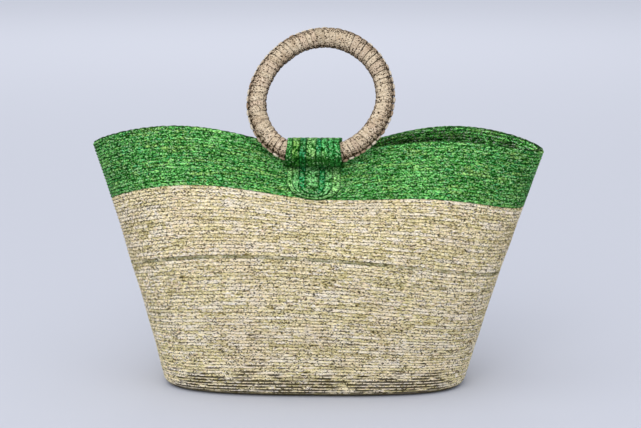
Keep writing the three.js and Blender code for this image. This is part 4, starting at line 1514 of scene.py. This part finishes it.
def cord_material():
    """The whole part of y counts the loops of the seam; painted shade where one meets the next."""
    material, tree, shader = new_material("rolled_cord", 0.55)
    x, y, _ = parts(own_uv(tree))
    grain = use_group(tree, leaf_grain, Place=own_place(tree))
    ribs = cloud(triple(tree, x * 14.0, y * 1.2, 0.0), 1.0, 2.0)
    base = blend(dice(tree, y.math("FLOOR"), 4.0, 0.0).ease(0.3, 0.9), strip_cream, strip_tan)
    base = shade(base, 0.5 + ribs * 0.5 + grain["Grain"] * 0.3)
    # Painted shade where one loop tucks under the next.
    base = blend(y.edge().ease(0.04, 0.2, 0.95, 0.0), base, hole_shade_brown)
    plug(tree, base, shader.inputs["Base Color"])
    relief(shader, ribs, 0.0004)
    return material


cord_palm = cord_material()
hoops = (("front_hoop", front_axis, front_lean), ("back_hoop", back_axis, back_lean))
for name, axis, lean in hoops:
    winding(name, axis, lean)
    seam(name, axis, lean)

# %% [markdown]
# The vine itself only shows in a cut or an exploded view, so no new mesh is made for it:
# it stays the frame's own solid and gets a bark brown with a soft grain.

# %% Vine
bark_dark, bark_light = (0.30, 0.19, 0.10), (0.50, 0.36, 0.22)


def vine_material():
    """Two browns mixed by soft noise, which is the relief too."""
    material, tree, shader = new_material("bent_vine", 0.7)
    bark = cloud(own_place(tree), 220.0, 3.0)
    plug(tree, blend(bark, bark_dark, bark_light), shader.inputs["Base Color"])
    relief(shader, bark, 0.0003)
    return material


vine = vine_material()
for node in ("front_hoop_core", "back_hoop_core"):
    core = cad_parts[node]
    core.data.materials.clear()
    core.data.materials.append(vine)
    print(node, "keeps its own mesh")

# %% [markdown]
# The stage. The bag stands on one sheet of pale, slightly blue paper, so wide that it is
# floor and backdrop at once. A wall close behind would catch the bag's shadow. Three
# lights and a bright surround stand in for a bright room: a very wide window light from
# the front left, a soft fill from the front, and a wash on the paper far behind, which
# keeps the top of the picture pale. One small lamp would throw hard shadows.

# %% Stage
paper_reach, paper_drop = 30.0, 0.0006      # m
corners = [(-1, -1), (1, -1), (1, 1), (-1, 1)]
floor_points = [(x * paper_reach, y * paper_reach, -paper_drop) for x, y in corners]
floor_data = bpy.data.meshes.new("studio_floor")
floor_data.from_pydata(floor_points, [], [(0, 1, 2, 3)])
studio_floor = bpy.data.objects.new("studio_floor", floor_data)
bpy.context.scene.collection.objects.link(studio_floor)
paper, _, paper_shader = new_material("studio_paper", 0.9)
paper_shader.inputs["Base Color"].default_value = (0.60, 0.624, 0.70, 1)
paper_shader.inputs["Specular IOR Level"].default_value = 0.0
floor_data.materials.append(paper)
print("the paper lies", paper_drop * 1000, "mm under the bag")

# %% [markdown]
# The lights. A sun lamp with a very large angle is as soft as a whole wall of windows,
# and it lights floor and bag alike, which an area lamp does not. Watts and tints were
# set by the tone of the plain paper, because it has no pattern that could mislead.

# %% Lights


def look_along(light, direction):
    """Puts a lamp in the scene and turns its own -Z, where it shines, to a direction."""
    light.rotation_euler = Vector(direction).to_track_quat("-Z", "Y").to_euler()
    bpy.context.scene.collection.objects.link(light)


def soft_light(name, place, aim_at, size, watts, colour):
    """A square softbox that looks at a point."""
    data = bpy.data.lights.new(name, "AREA")
    data.shape, data.size, data.energy, data.color = "SQUARE", size, watts, colour
    light = bpy.data.objects.new(name, data)
    light.location = place
    look_along(light, Vector(aim_at) - Vector(place))


sun_data = bpy.data.lights.new("window", "SUN")
sun_data.energy, sun_data.angle = 1.12, np.radians(110)
look_along(bpy.data.objects.new("window", sun_data), (0.36, 1.0, -1.0))
soft_light("fill", (-0.4, -2.5, 1.7), (0, -0.1, 0.1), 1.6, 21, (1, 0.98, 0.98))
soft_light("back_wash", (-0.4, 4.6, 3.4), (-0.4, 4.7, 0), 2.0, 27, (1, 0.98, 0.95))
world = bpy.data.worlds.new("studio")
bpy.context.scene.world = world
world.use_nodes = True
surround = world.node_tree.nodes["Background"]
surround.inputs["Color"].default_value = (0.87, 0.88, 0.92, 1)
surround.inputs["Strength"].default_value = 0.79
print("lights:", len(bpy.data.lights))

# %% [markdown]
# Plait may stand a little proud of the plain solids, but a bag that outgrew them
# would no longer be the same one.
